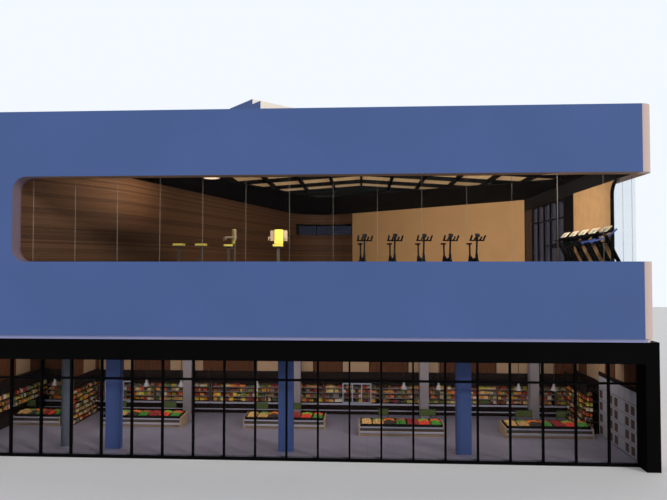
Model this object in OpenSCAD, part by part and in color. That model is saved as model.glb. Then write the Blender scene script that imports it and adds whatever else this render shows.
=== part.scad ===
// Two-storey supermarket building with a gym on the upper floor.
// Smooth slate-blue shell with rounded corners, a long wrap-around terrace window,
// a black shopfront below and a gabled roof light above the gym.
// Millimetres. X runs along the shopfront, Y from front to back, Z up.
// The origin is on the ground, at the middle of the plan.

/* [Plan] */
// Distance between two shopfront mullions
bay_pitch = 1050; // [870:5:1260]
// Number of full shopfront bays
bay_count = 20; // [16:2:22]
// Width of the narrower bay at each end of the shopfront
end_bay = 930; // [700:10:1050]
// Width of a pier beside the shopfront, up to the face of the shell
pier_w = 330; // [250:10:500]
// Depth of the building from front to back
building_d = 22000; // [22000:100:26400]
// Radius of the rounded upright corners of the shell
corner_r = 395; // [200:5:440]
// Thickness of the upper shell
shell_t = 500; // [470:10:560]
// Thickness of the ground-floor walls
ground_wall_t = 300; // [200:10:400]

/* [Levels] */
// Top of the shop floor above the ground
shop_floor_z = 120; // [80:10:160]
// Underside of the black portal, where the glass starts
portal_z = 3375; // [3200:5:3600]
// Underside of the thin ledge below the shell
ledge_z = 4060; // [3900:10:4400]
// Thickness of the ledge
ledge_t = 120; // [80:5:160]
// How far the ledge stands back from the shell
ledge_setback = 60; // [20:5:120]
// Top of the gym floor
gym_floor_z = 6200; // [5900:10:6300]
// Thickness of the gym floor
gym_floor_t = 400; // [250:10:500]
// Rim of the parapet below the long window
rim_z = 6610; // [6500:10:6900]
// Head of the long window
head_z = 9445; // [9000:5:9600]
// Underside of the black gym ceiling
ceiling_z = 10000; // [9700:10:10200]
// Thickness of the gym ceiling
ceiling_t = 60; // [40:5:100]
// Thickness of the roof slab
roof_t = 250; // [200:10:350]
// Top of the shell, which hides the roof
top_z = 11620; // [11400:10:12200]

/* [Shopfront] */
// How far the portal stands out beyond the shell at each side
portal_out = 100; // [0:10:150]
// How far the portal's face lies behind the shell's face
portal_setback = 100; // [60:10:200]
// Depth of the portal's fascia and piers
portal_d = 620; // [500:10:700]
// Face width of a mullion
mullion_w = 60; // [50:5:80]
// Depth of a mullion
mullion_d = 120; // [100:5:160]
// Middle of the transom above the ground
transom_z = 2660; // [2500:10:3000]
// Height of the sill bar
sill_h = 80; // [60:5:120]

/* [Long window] */
// Solid shell beside each end of the long window
solid_end = 2640; // [2000:10:3200]
// Radius of the window's rounded corners
window_r = 460; // [300:10:600]
// Thickness of the parapet's outer skin, in front of the planting trough
rim_t = 110; // [80:5:140]
// Width of the planting trough
trough_w = 240; // [160:10:260]
// Depth of the planting trough below the gym floor
trough_depth = 200; // [100:10:300]
// Height of the curb under the glass, above the gym floor
curb_h = 100; // [60:5:160]
// Distance between the butt joints of the frameless glass
pane_pitch = 1460; // [1300:10:1600]
// Width of the last pane at the glass corner
corner_pane = 1000; // [800:10:1200]
// Thickness of a glass pane
glass_t = 20; // [12:1:30]
// Open joint between two panes
pane_gap = 12; // [8:1:20]
// Depth of the reveal in front of the glass
reveal = 430; // [400:10:440]
// Black trim around the rounded corner of the side glass
corner_trim = 30; // [20:2:50]
// Length of side glass between the corner and the side panel
side_glass = 1620; // [1300:10:2000]

/* [Gym] */
// Thickness of the sand-coloured side panel
panel_t = 120; // [100:5:160]
// Length of the side panel
side_panel = 3450; // [3000:10:4000]
// Length of the glazed gallery screen behind the side panel
gallery = 7150; // [6500:50:7600]
// Thickness of the timber and plaster walls of the gym
lining_t = 120; // [80:5:160]
// Direction of the timber wall's first stretch, from straight back
timber_turn_1 = 35.5; // [30:0.5:40]
// Length of the timber wall's first stretch
timber_run_1 = 3870; // [3500:10:4200]
// Radius of the bend between the two stretches
timber_bend_r = 3000; // [2000:100:5000]
// Radius of the rounded end of the gym
apse_r = 2370; // [2000:10:2600]
// Gap from the rounded end's face to the rear shell
apse_gap = 630; // [400:10:900]
// Direction of the plaster wall, back from straight across
plaster_turn = 38.4; // [36:0.1:41]
// Width of the strip window at the back of the gym
strip_w = 3800; // [3000:50:4200]
// Sill of the strip window above the gym floor
strip_sill = 2380; // [2100:10:2500]
// Height of the strip window
strip_h = 740; // [500:10:900]
// Timber left standing between the strip window and the plaster wall
strip_margin = 60; // [40:5:200]

// Width of the closed bay of the gallery screen, beside the side panel
closed_bay = 1150; // [900:10:1300]
// Width of the leaf at the gallery screen's far end
leaf_bay = 1460; // [1200:10:1600]
// Number of glazed bays between them
glazed_bays = 5; // [4:1:6]
// Thickness of the leaf
leaf_t = 50; // [40:5:60]
// Width of a glass slot in the leaf
leaf_slot = 120; // [80:10:160]
// Width of a bar of the gallery screen
gallery_bar = 60; // [50:5:80]
// Middle of the gallery screen's crossbar above the gym floor
crossbar = 2390; // [2200:10:2500]
// Width of the pilaster at the right end of the plaster wall
pilaster_w = 430; // [300:10:500]
// How far the pilaster stands out
pilaster_out = 60; // [40:5:100]
// Depth of the strip window's frame
strip_frame_d = 400; // [300:10:440]
// Width of a bar of the strip window's frame
strip_bar = 50; // [40:5:70]
// Distances from the side wall to the spin bikes
bike_insets = [4645, 5600, 6555, 7610, 8715];
// Turn of each spin bike
bike_turn = 14; // [0:1:25]
// Number of treadmills
treadmill_count = 5; // [1:1:5]
// Distance between two treadmills
treadmill_pitch = 930; // [880:10:1000]

/* [Roof light] */
// Distance between the bars that run back
rafter_pitch = 1460; // [1300:10:1500]
// Distance between the bars that run across
cross_pitch = 2290; // [2100:10:2400]
// Width of a bar
bar_w = 110; // [80:5:150]
// Depth of a bar
bar_h = 180; // [120:5:240]
// Height of the right edge's underside above the ceiling's top
light_edge = 14; // [5:1:80]
// Drop of each slope for one unit across
slope = 0.068; // [0.05:0.002:0.08]
// Thickness of the roof-light sheets
sheet_t = 30; // [20:2:50]
// Gap from the gym's side wall to the roof light's right edge
light_margin = 290; // [200:10:500]
// Bars' bays to the left of the ridge
left_bays = 4; // [3:1:4]
// Bars' bays to the right of the ridge, the last one cut short
right_bays = 5.8; // [5.5:0.1:6]
// Distance from the shell's face to the first bar across
cross_start = 5620; // [5400:10:5900]
// Depth of the roof light in front of the first bar across
front_strip = 1570; // [1200:10:1700]
// Bays between the bars across
cross_bays = 3; // [2:1:3]
// Height of the curb round the roof light
light_curb_h = 150; // [100:10:200]
// Thickness of the curb round the roof light
light_curb_t = 120; // [80:10:150]

/* [Roof box] */
// Turn of the roof box against the front
roof_box_turn = 43; // [35:1:50]
// Length of the roof box
roof_box_l = 1800; // [1400:50:1900]
// Width of its high part
roof_box_w = 1600; // [1300:50:1700]
// Width of its low part
roof_box_step = 520; // [300:10:600]
// Distance from the ridge of the roof light to its corner
roof_box_left = 3830; // [3000:10:5000]
// Distance from the shell's face to its corner
roof_box_back = 1390; // [1300:10:1600]
// Top of its high part
roof_box_top = 12360; // [12100:10:12500]
// Top of its low part
roof_box_low = 12180; // [11900:10:12200]

/* [Shop fittings] */
// Distance from the shell's face to the chilled cabinets
display_back = 6040; // [5600:20:6600]
// Height of the chilled cabinets
cabinet_h = 1980; // [1800:10:2100]
// Depth of the chilled cabinets
cabinet_d = 900; // [700:10:1000]
// Height of a cabinet's base, up to its lowest deck
cabinet_base = 480; // [400:10:560]
// Height of a cabinet's canopy
canopy_h = 480; // [300:10:520]
// Thickness of a cabinet's back
cabinet_back = 120; // [60:10:160]
// Number of shelves above the lowest deck
shelf_count = 4; // [3:1:5]
// Thickness of a shelf
shelf_t = 30; // [20:5:50]
// How far a shelf's edge stands back from the cabinet's front
shelf_back = 120; // [60:10:200]
// Number of cabinet runs
run_count = 3; // [1:1:3]
// Joint between two cabinet runs
run_gap = 20; // [10:5:40]
// Length of the shelving at each end of the cabinets
side_shelf_l = 2280; // [2000:20:2600]
// Depth of the shelving at each end of the cabinets
side_shelf_d = 440; // [300:10:500]
// Number of shelves in the shelving
side_shelf_count = 5; // [4:1:6]
// Length of a produce stand
stand_w = 3200; // [2600:10:3400]
// Depth of a produce stand
stand_d = 960; // [800:10:960]
// Thickness of a stand's end boards
stand_end = 45; // [30:5:60]
// Height of a stand's kick base
stand_kick = 100; // [80:5:150]
// Height of a stand's front edge
stand_front = 340; // [320:10:520]
// Height of a stand's back edge
stand_back = 400; // [380:10:900]
// Height of a lamp's rim above the ground
lamp_z = 1600; // [1500:10:2000]
// Radius of a lamp's rim
lamp_r = 120; // [100:5:180]
// Diameter of the round column
round_column_d = 400; // [300:10:450]
// Distance from the shell's face to the round column's middle
round_column_back = 1500; // [1400:10:1600]
// Distance from the shell's face to the painted columns
column_back = 1150; // [1000:10:1200]
// Width of the stone columns in front of the cabinets
stone_column_w = 360; // [300:10:420]
// Width of the painted columns behind the glass
column_w = 500; // [350:10:600]
// Depth of the painted columns
column_d = 270; // [200:10:400]
// Distance between the painted columns
column_pitch = 6050; // [5600:10:6400]

/* [Hidden] */
$fn = 48;
eps = 1;
shell_blue = [0.31, 0.38, 0.58];
column_blue = [0.28, 0.37, 0.57];

building_w = bay_count*bay_pitch + 2*end_bay + 2*pier_w;
half_w = building_w/2;
half_d = building_d/2;
front_y = -half_d;
shell_z = ledge_z + ledge_t;

// Glass line of the long window, in the front and in the right side
glass_y = front_y + reveal;
glass_x = half_w - reveal;
glass_foot = gym_floor_z + curb_h;
window_left = -half_w + solid_end;
window_rear = half_d - solid_end;
last_joint = glass_x - corner_pane;
pane_count = floor((last_joint - window_left - window_r)/pane_pitch);
first_joint = last_joint - pane_count*pane_pitch;
side_head = head_z - corner_trim/2;
panel_x = half_w - shell_t;
side_glass_end = glass_y + side_glass;
panel_rear_y = side_glass_end + side_panel;
gallery_end = panel_rear_y + gallery;

// Portal and shopfront
portal_front = front_y + portal_setback;
portal_rear = portal_front + portal_d;
pane_y = portal_rear - mullion_d/2 - glass_t;
jamb_x = half_w - pier_w;

// Plan of the gym: heading() is measured from straight back, towards the right
function heading(a) = [sin(a), cos(a)];
function right_of(a) = [cos(a), -sin(a)];

// Points of an arc round a centre, on a wall face that turns from heading a to heading b (right if s is 1)
function arc(centre, r, a, b, n, s = 1) = [for (i = [0:n]) centre - s*r*right_of(a + (b - a)*i/n)];

// The plaster wall meets the side wall this far in front of the gallery screen's end
plaster_lap = 100;
gym_start = [window_left, front_y + shell_t];
bend = gym_start + timber_run_1*heading(timber_turn_1);
plaster_heading = 90 + plaster_turn;
plaster_end = [panel_x, gallery_end - plaster_lap];

// Rounded end: it touches the plaster wall's line and keeps its gap from the rear shell
plaster_out = -right_of(plaster_heading);
apse_y = half_d - shell_t - apse_gap - apse_r;
apse_x = panel_x - (apse_r + (apse_y - plaster_end[1])*plaster_out[1])/plaster_out[0];
apse_centre = [apse_x, apse_y];

// The long stretch of timber runs from the bend as a tangent to the rounded end
to_apse = apse_centre - bend;
timber_turn_2 = atan2(to_apse[0], to_apse[1]) - asin(apse_r/norm(to_apse));
bend_t = timber_bend_r*tan((timber_turn_1 - timber_turn_2)/2);
bend_centre = bend - bend_t*heading(timber_turn_1) - timber_bend_r*right_of(timber_turn_1);
apse = arc(apse_centre, apse_r, timber_turn_2, plaster_heading, 18);

// Strip window: the timber wall runs on past its rounded end until it clears the slot
strip_x = apse_centre[0];
strip_z = gym_floor_z + strip_sill;
apse_end = apse[len(apse) - 1];
timber_tail = (strip_x + strip_w/2 + strip_margin - apse_end[0])/sin(plaster_heading);
plaster_start = apse_end + timber_tail*heading(plaster_heading);
timber_face = concat([gym_start],
    arc(bend_centre, timber_bend_r, timber_turn_1, timber_turn_2, 6, -1), apse, [plaster_start]);

// Roof light: its well in the ceiling follows the walls below
bar_right = panel_x - light_margin;
ridge_x = bar_right - right_bays*rafter_pitch;
bar_left = ridge_x - left_bays*rafter_pitch;
cross_y0 = front_y + cross_start;
light_front = cross_y0 - front_strip;
light_rear = cross_y0 + cross_bays*cross_pitch;
well_left = bar_left + light_margin;
well_lap = 5;
well_bend_share = 0.16;
well_apex_bays = [1.48, 2.44];
well_right = bar_right - bar_w/2 - well_lap;
well_bend_y = cross_y0 - well_bend_share*cross_pitch;
well_apex = [ridge_x - well_apex_bays[0]*rafter_pitch, cross_y0 + well_apex_bays[1]*cross_pitch];
well = [[well_left, light_front], [well_right, light_front], [well_right, well_bend_y],
    well_apex, [well_left, well_bend_y]];
roof_z = ceiling_z + ceiling_t;
ridge_z = roof_z + light_edge + slope*(bar_right - ridge_x);
roof_box_at = [ridge_x - roof_box_left, front_y + roof_box_back];

// Shop fittings
display_y = front_y + display_back;
shop_left = -half_w + ground_wall_t;
shop_right = half_w - ground_wall_t;
cabinet_gap_left = 60;
cabinet_gap_right = 780;
run_left = shop_left + cabinet_gap_left;
run_right = shop_right - cabinet_gap_right;
run_l = (run_right - run_left - (run_count - 1)*run_gap)/run_count;
function bay(n) = n*bay_pitch;
stand_row_1 = front_y + 3040;
stand_row_2 = front_y + 3760;
column_shift = 100;

// A box between two corners
module block(a, b) {
    translate(a) cube(b - a);
}

// Outline of the shell with its rounded upright corners
module outline(inset = 0) {
    w = half_w - inset;
    d = half_d - inset;
    r = corner_r - inset;
    difference() {
        square([2*w, 2*d], center = true);
        for (sx = [-1, 1], sy = [-1, 1])
            translate([sx*(w - r), sy*(d - r)]) difference() {
                translate([sx > 0 ? 0 : -r - eps, sy > 0 ? 0 : -r - eps]) square(r + eps);
                circle(r);
            }
    }
}

// The part of the shell's outline between two plan corners, raised between two levels
module shell_strip(a, b, z0, z1, inset = 0) {
    translate([0, 0, z0]) linear_extrude(z1 - z0) intersection() {
        outline(inset);
        translate(a) square(b - a);
    }
}

// A rounded rectangle in X and Z
module rounded_slot(x0, x1, z0, z1, r) {
    translate([x0 + r, z0 + r]) circle(r);
    translate([x0 + r, z1 - r]) circle(r);
    translate([x0 + r, z0]) square([x1 - x0 - r, z1 - z0]);
    translate([x0, z0 + r]) square([r + eps, z1 - z0 - 2*r]);
}

// Stands a drawing of X and Z up in the plane y, through the thickness t
module upright_x(y, t) {
    translate([0, y + t, 0]) rotate([90, 0, 0]) linear_extrude(t) children();
}

// Stands a drawing of Y and Z up in the plane x, through the thickness t
module upright_y(x, t) {
    translate([x, 0, 0]) rotate([90, 0, 90]) linear_extrude(t) children();
}

module shop_floor() {
    color("gainsboro")
        block([shop_left, portal_rear, 0], [shop_right, half_d - ground_wall_t, shop_floor_z]);
}

module ground_wall_left() {
    color(shell_blue)
        shell_strip([-half_w, portal_rear], [-half_w + ground_wall_t, half_d - ground_wall_t], 0, ledge_z);
}

module ground_wall_right() {
    color(shell_blue)
        shell_strip([half_w - ground_wall_t, portal_rear], [half_w, half_d - ground_wall_t], 0, ledge_z);
}

module ground_wall_rear() {
    color(shell_blue)
        shell_strip([-half_w, half_d - ground_wall_t], [half_w, half_d], 0, ledge_z);
}

module portal_fascia() {
    color("black")
        block([-half_w - portal_out, portal_front, portal_z], [half_w + portal_out, portal_rear, ledge_z]);
}

module portal_piers() {
    color("black") for (s = [-1, 1])
        translate([s*(jamb_x + (pier_w + portal_out)/2), portal_front + portal_d/2, portal_z/2])
            cube([pier_w + portal_out, portal_d, portal_z], center = true);
}

module shopfront_frame() {
    color("black") {
        for (i = [-bay_count/2:bay_count/2])
            block([i*bay_pitch - mullion_w/2, pane_y - mullion_d/2, 0],
                [i*bay_pitch + mullion_w/2, pane_y + mullion_d/2, portal_z]);
        for (z = [0, transom_z - mullion_w/2])
            block([-jamb_x, pane_y - mullion_d/2, z],
                [jamb_x, pane_y + mullion_d/2, z + (z > 0 ? mullion_w : sill_h)]);
    }
}

module shopfront_glass() {
    color([0.6, 0.7, 0.8, 0.3])
        block([-jamb_x, pane_y + mullion_d/2, sill_h], [jamb_x, pane_y + mullion_d/2 + glass_t, portal_z]);
}

module ledge_slab() {
    color("lightsteelblue")
        translate([0, 0, ledge_z]) linear_extrude(ledge_t) outline(ledge_setback);
}

// Space behind the rim along the front and the right side, raised between two levels
module behind_rim(depth, z0, z1) {
    translate([0, 0, z0]) linear_extrude(z1 - z0) difference() {
        intersection() {
            outline(rim_t);
            translate([first_joint, front_y]) square([half_w - first_joint, side_glass_end - front_y]);
        }
        translate([-half_w, front_y + rim_t + depth])
            square([building_w - rim_t - depth, building_d]);
    }
}

// Planting trough behind the rim, and the lower sill between it and the glass
module trough() {
    behind_rim(trough_w, gym_floor_z - trough_depth, rim_z + eps);
    behind_rim(shell_t - rim_t + eps, glass_foot, rim_z + eps);
}

module front_shell() {
    color(shell_blue) difference() {
        shell_strip([-half_w, front_y], [half_w, front_y + shell_t], shell_z, top_z);
        upright_x(front_y - eps, shell_t + 2*eps)
            rounded_slot(window_left, half_w + eps, rim_z, head_z, window_r);
        trough();
    }
}

module right_shell() {
    color(shell_blue) difference() {
        shell_strip([panel_x, front_y + shell_t], [half_w, half_d - shell_t], shell_z, top_z);
        upright_y(panel_x - eps, shell_t + 2*eps)
            mirror([1, 0]) rounded_slot(-window_rear, half_d, rim_z, head_z, window_r);
        trough();
    }
}

module left_shell() {
    color(shell_blue)
        shell_strip([-half_w, front_y + shell_t], [-half_w + shell_t, half_d - shell_t], shell_z, top_z);
}

module strip_opening(extra = 0) {
    block([strip_x - strip_w/2 - extra, apse_centre[1], strip_z - extra],
        [strip_x + strip_w/2 + extra, half_d + eps, strip_z + strip_h + extra]);
}

module rear_shell() {
    color(shell_blue) difference() {
        shell_strip([-half_w, half_d - shell_t], [half_w, half_d], shell_z, top_z);
        strip_opening();
    }
}

module gym_floor() {
    color("dimgray") translate([0, 0, gym_floor_z - gym_floor_t]) linear_extrude(gym_floor_t) gym_plan();
}

// One pane of the front glass between two places along the front
module front_pane(x0, x1, z0 = glass_foot) {
    block([x0, glass_y, z0], [x1, glass_y + glass_t, head_z]);
}

module terrace_glass_front() {
    color([0.7, 0.8, 0.9, 0.3]) {
        for (i = [0:pane_count - 1])
            front_pane(last_joint - (i + 1)*pane_pitch + pane_gap/2, last_joint - i*pane_pitch - pane_gap/2);
        front_pane(last_joint + pane_gap/2, glass_x + glass_t);
        upright_x(glass_y, glass_t) intersection() {
            rounded_slot(window_left, half_w, rim_z, head_z, window_r);
            translate([window_left, rim_z]) square([first_joint - pane_gap/2 - window_left, head_z - rim_z]);
        }
    }
}

// The side glass's outline in Y and Z, with its rounded upper corner, widened by grow
module side_outline(grow = 0) {
    r = window_r + grow;
    y = side_glass_end + grow;
    z = side_head + grow;
    translate([y - r, z - r]) circle(r, $fn = 192);
    translate([front_y, 0]) square([y - r - front_y, z]);
    translate([front_y, 0]) square([y - front_y, z - r]);
}

side_joint_1 = 230;
side_joint_2 = 870;

module terrace_glass_side() {
    y1 = glass_y + side_joint_1;
    y2 = glass_y + side_joint_2;
    color([0.7, 0.8, 0.9, 0.3]) upright_y(glass_x, glass_t) intersection() {
        side_outline(-pane_gap);
        for (p = [[glass_y + glass_t + pane_gap, y1], [y1 + pane_gap, y2], [y2 + pane_gap, side_glass_end]])
            translate([p[0], glass_foot]) square([p[1] - p[0], head_z - glass_foot]);
    }
}

module side_panel_front() {
    color("burlywood") upright_y(panel_x, panel_t) difference() {
        translate([side_glass_end - window_r, rim_z])
            square([side_panel + window_r, head_z - rim_z]);
        side_outline(corner_trim);
    }
}

module side_panel_edge() {
    color("black") upright_y(panel_x, panel_t) difference() {
        intersection() {
            side_outline(corner_trim);
            translate([side_glass_end - window_r, rim_z])
                square([window_r + corner_trim, head_z - rim_z]);
        }
        side_outline();
    }
}

module side_panel_rear() {
    color("burlywood") upright_y(panel_x, panel_t)
        difference() {
            translate([gallery_end, rim_z]) square([window_rear - gallery_end, head_z - rim_z]);
            mirror([1, 0]) difference() {
                translate([-window_rear - eps, rim_z - eps]) square([window_r, head_z - rim_z + 2*eps]);
                rounded_slot(-window_rear, half_d, rim_z, head_z, window_r);
            }
        }
}

glazed_start = panel_rear_y + closed_bay;
glazed_pitch = (gallery - closed_bay - leaf_bay)/glazed_bays;
glazed_end = gallery_end - leaf_bay;

// Layers of the gallery screen, outwards from the side wall's inner face: bars, leaf and glass
screen_back = 20;
screen_d = 80;
leaf_back = 30;
slot_shares = [0.08, 0.7];

// Rectangle of the gallery screen between two places along the side, in Y and Z
module screen(y0, y1, z0, z1) {
    translate([y0, z0]) square([y1 - y0, z1 - z0]);
}

module gallery_frame() {
    bar = gallery_bar;
    color("black") upright_y(panel_x + screen_back, screen_d) {
        screen(panel_rear_y, glazed_start + bar, rim_z, head_z);
        for (i = [1:glazed_bays])
            screen(glazed_start + i*glazed_pitch, glazed_start + i*glazed_pitch + bar, rim_z, head_z);
        screen(gallery_end - bar, gallery_end, rim_z, head_z);
        for (z = [rim_z, head_z - bar])
            screen(panel_rear_y, gallery_end, z, z + bar);
        screen(panel_rear_y, glazed_end, gym_floor_z + crossbar - bar/2, gym_floor_z + crossbar + bar/2);
    }
}

// Closed leaf with two upright slots, in the last bay of the screen
module gallery_leaf() {
    a = glazed_end + gallery_bar;
    b = gallery_end - gallery_bar;
    w = b - a;
    color("saddlebrown") upright_y(panel_x + leaf_back, leaf_t) difference() {
        screen(a, b, rim_z + gallery_bar, head_z - gallery_bar);
        for (share = slot_shares)
            screen(a + share*w, a + share*w + leaf_slot, rim_z + 3*gallery_bar, head_z - 4*gallery_bar);
    }
}

module gallery_glass() {
    x = panel_x + screen_back + screen_d;
    color([0.3, 0.4, 0.6, 0.4]) block([x, panel_rear_y, rim_z], [x + glass_t, gallery_end, head_z]);
}

// A wall that follows the points of its visible face, thickened outwards
function offset_out(points, t) = [for (i = [len(points) - 1:-1:0])
    let(a = i > 0 ? points[i] - points[i - 1] : points[1] - points[0],
        b = i < len(points) - 1 ? points[i + 1] - points[i] : a,
        u = a/norm(a) + b/norm(b), n = [-u[1], u[0]]/norm(u),
        k = norm(u)/2)
    points[i] + n*t/k];

// The gym's side of the shell's inner faces, in plan
module gym_plan() {
    translate([-panel_x, front_y + shell_t]) square([2*panel_x, building_d - 2*shell_t]);
}

module timber_wall() {
    face = concat([gym_start - lining_t*heading(timber_turn_1)], timber_face);
    color("saddlebrown") difference() {
        translate([0, 0, gym_floor_z]) linear_extrude(ceiling_z - gym_floor_z) intersection() {
            polygon(concat(face, offset_out(face, lining_t)));
            gym_plan();
        }
        strip_opening();
    }
}

module plaster_wall() {
    along = heading(plaster_heading);
    out = plaster_out;
    tip = plaster_end + lining_t*along;
    pier = plaster_end - pilaster_w*along;
    color("tan") translate([0, 0, gym_floor_z]) linear_extrude(ceiling_z - gym_floor_z) intersection() {
        polygon([plaster_start, pier, pier - pilaster_out*out, tip - pilaster_out*out,
            tip + lining_t*out, plaster_start + lining_t*out]);
        gym_plan();
    }
}

module gym_ceiling() {
    color("black") translate([0, 0, ceiling_z]) linear_extrude(ceiling_t) difference() {
        gym_plan();
        polygon(well);
    }
}

module roof_slab() {
    color("lightgray") difference() {
        translate([0, 0, roof_z]) linear_extrude(roof_t) gym_plan();
        block([bar_left - bar_w/2, light_front, roof_z - eps],
            [bar_right, light_rear, roof_z + roof_t + eps]);
    }
}

curb_top = roof_z + roof_t + light_curb_h;

module roof_light_curb() {
    z = roof_z + roof_t;
    t = light_curb_t;
    color("silver") difference() {
        block([bar_left - bar_w/2 - t, light_front - t, z],
            [bar_right + t, light_rear + t, curb_top]);
        block([bar_left - bar_w/2, light_front, z - eps], [bar_right, light_rear, curb_top + eps]);
    }
}

// Underside of the roof light above a place x
function light_z(x) = ridge_z - slope*abs(x - ridge_x);

// Gable profile between two heights above the underside
module gable(x0, x1, low, high) {
    polygon([[x0, light_z(x0) + low], [ridge_x, ridge_z + low], [x1, light_z(x1) + low],
        [x1, light_z(x1) + high], [ridge_x, ridge_z + high], [x0, light_z(x0) + high]]);
}

module roof_light_bars() {
    x0 = bar_left - bar_w/2;
    between = [for (i = [0:cross_bays - 1]) cross_y0 + i*cross_pitch];
    cross_bars = concat([light_front], between, [light_rear - bar_w]);
    color("black") {
        for (y = cross_bars)
            upright_x(y, bar_w) gable(x0, bar_right, 0, bar_h);
        for (i = [-left_bays:ceil(right_bays)]) {
            a = i < right_bays ? ridge_x + i*rafter_pitch - bar_w/2 : bar_right - bar_w;
            upright_x(light_front, light_rear - light_front) intersection() {
                gable(x0, bar_right, 0, bar_h);
                translate([a, 0]) square([bar_w, top_z]);
            }
        }
    }
}

module roof_light_sheets() {
    color("wheat") upright_x(light_front, light_rear - light_front)
        gable(bar_left - bar_w/2, bar_right, bar_h, bar_h + sheet_t);
}

// Two-step box set at an angle on the roof, seen above the parapet
module roof_box() {
    z = roof_z + roof_t;
    color(shell_blue) translate([roof_box_at[0], roof_box_at[1], z]) rotate(roof_box_turn) {
        cube([roof_box_l, roof_box_w, roof_box_top - z]);
        translate([0, -roof_box_step, 0]) cube([roof_box_l, roof_box_step + eps, roof_box_low - z]);
    }
}

module strip_window_frame() {
    bar = strip_bar;
    x0 = strip_x - strip_w/2;
    pitch = (strip_w - bar)/3;
    color("black") difference() {
        block([x0, half_d - shell_t, strip_z],
            [x0 + strip_w, half_d - shell_t + strip_frame_d, strip_z + strip_h]);
        for (i = [0:2])
            block([x0 + bar + i*pitch, half_d - shell_t - eps, strip_z + bar],
                [x0 + (i + 1)*pitch, half_d, strip_z + strip_h - bar]);
    }
}

module strip_window_glass() {
    y = half_d - shell_t + strip_frame_d;
    color([0.5, 0.6, 0.8, 0.3])
        block([strip_x - strip_w/2, y, strip_z], [strip_x + strip_w/2, y + glass_t, strip_z + strip_h]);
}

bike_y = front_y + 2740;
hand_z = 1190;
saddle_z = 1080;

// Bar between two ends in the plane x, drawn as a thick line in Y and Z
module stay(p, q, w, x, t) {
    n = w/2*[-(q - p)[1], (q - p)[0]]/norm(q - p);
    translate([x - t/2, 0, 0]) rotate([90, 0, 90]) linear_extrude(t) polygon([p + n, p - n, q - n, q + n]);
}

// Bar along X, with its middle at y and z
module cross_tube(y, z, l, r) {
    translate([-l/2, y, z]) rotate([0, 90, 0]) cylinder(h = l, r = r);
}

// Spin bike that looks to the front: its head is at -Y and its saddle behind it
module spin_bike() {
    for (y = [-430, 480]) cross_tube(y, 40, 520, 40);
    stay([-430, 40], [480, 40], 60, 0, 70);
    stay([-330, 60], [-250, 700], 110, 0, 60);
    stay([-250, 620], [-290, hand_z], 60, 0, 46);
    stay([-220, 330], [330, 620], 100, 0, 60);
    stay([480, 50], [300, 640], 90, 0, 60);
    stay([300, 600], [330, saddle_z - 20], 56, 0, 44);
    cross_tube(-180, 330, 56, 240);
    cross_tube(-180, 330, 110, 60);
    cross_tube(90, 330, 150, 95);
    for (s = [-1, 1]) {
        stay([90, 330], [90 + s*120, 330 - s*120], 34, s*88, 26);
        translate([s*120 - 50, 90 + s*120 - 40, 330 - s*120 - 17]) cube([100, 80, 34]);
    }
    spin_handlebar();
    spin_saddle();
}

// Handlebar with upturned ends and two inner horns, and a small display on a stalk
module spin_handlebar() {
    cross_tube(-290, hand_z, 520, 20);
    for (s = [-1, 1]) {
        stay([-290, hand_z], [-420, hand_z + 150], 42, s*250, 42);
        stay([-290, hand_z], [-450, hand_z + 110], 38, s*110, 38);
    }
    stay([-290, hand_z], [-350, hand_z + 170], 46, 0, 46);
    translate([-80, -380, hand_z + 140]) rotate([-25, 0, 0]) cube([160, 34, 120]);
}

// Saddle: a wide tail that narrows to the nose, which points to the handlebar
module spin_saddle() {
    translate([0, 330, saddle_z - 20]) linear_extrude(60) {
        translate([0, 60]) circle(r = 95);
        polygon([[-92, 40], [-26, -140], [26, -140], [92, 40]]);
        translate([0, -140]) circle(r = 26);
    }
}

module spin_bikes() {
    color("black") for (inset = bike_insets)
        translate([panel_x - inset, bike_y, gym_floor_z]) rotate(bike_turn) spin_bike();
}

console_z = 1300;
tread_w = 800;

// Profile in X and Z, as wide as t, from the place y
module side_profile(y, t, points) {
    translate([0, y + t, 0]) rotate([90, 0, 0]) linear_extrude(t) polygon(points);
}

// Treadmill whose runner faces +X: belt bed, side rails, motor hood, slanted posts, console and handrails
module treadmill() {
    w = tread_w/2;
    side_profile(-w + 90, tread_w - 180, [[-1750, 60], [-1690, 150], [-60, 150], [-60, 60]]);
    side_profile(-w + 120, tread_w - 240, [[-80, 60], [-80, 150], [-20, 250], [190, 230], [250, 60]]);
    for (s = [-1, 1]) {
        side_profile(s*(w - 50) - 50, 100,
            [[-1760, 0], [-1760, 120], [-1700, 175], [200, 175], [250, 110], [250, 0]]);
        side_profile(s*(w - 50) - 30, 60, [[0, 170], [130, 170], [-430, console_z], [-560, console_z]]);
        side_profile(s*(w - 50) - 22, 44, [[-400, 1040], [-930, 960], [-930, 1004], [-400, 1090]]);
    }
    side_profile(-w + 20, tread_w - 40,
        [[-590, console_z - 40], [-260, console_z + 110], [-280, console_z + 160],
        [-560, console_z + 40], [-620, console_z + 20]]);
}

module treadmills() {
    color("dimgray") for (i = [0:treadmill_count - 1])
        translate([panel_x - 260, glass_y + 700 + i*treadmill_pitch, gym_floor_z]) treadmill();
}

// Strength machines: place of each from the window's left end, and its turn; the last two have a backrest
machine_at = [[4800, 2600, 0], [5610, 2700, 0], [6450, 3500, -70], [8380, 3600, 0]];
first_backrest = 2;
seat_z = 1020;
pad_t = 80;
back_w = 70;
back_foot = [230, 30];
back_top = [270, seat_z + 680];
back_along = (back_top - back_foot)/norm(back_top - back_foot);

// Places its children at machine i, on the gym floor
module at_machine(i) {
    p = machine_at[i];
    translate([window_left + p[0], front_y + p[1], gym_floor_z]) rotate(p[2]) children();
}

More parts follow.
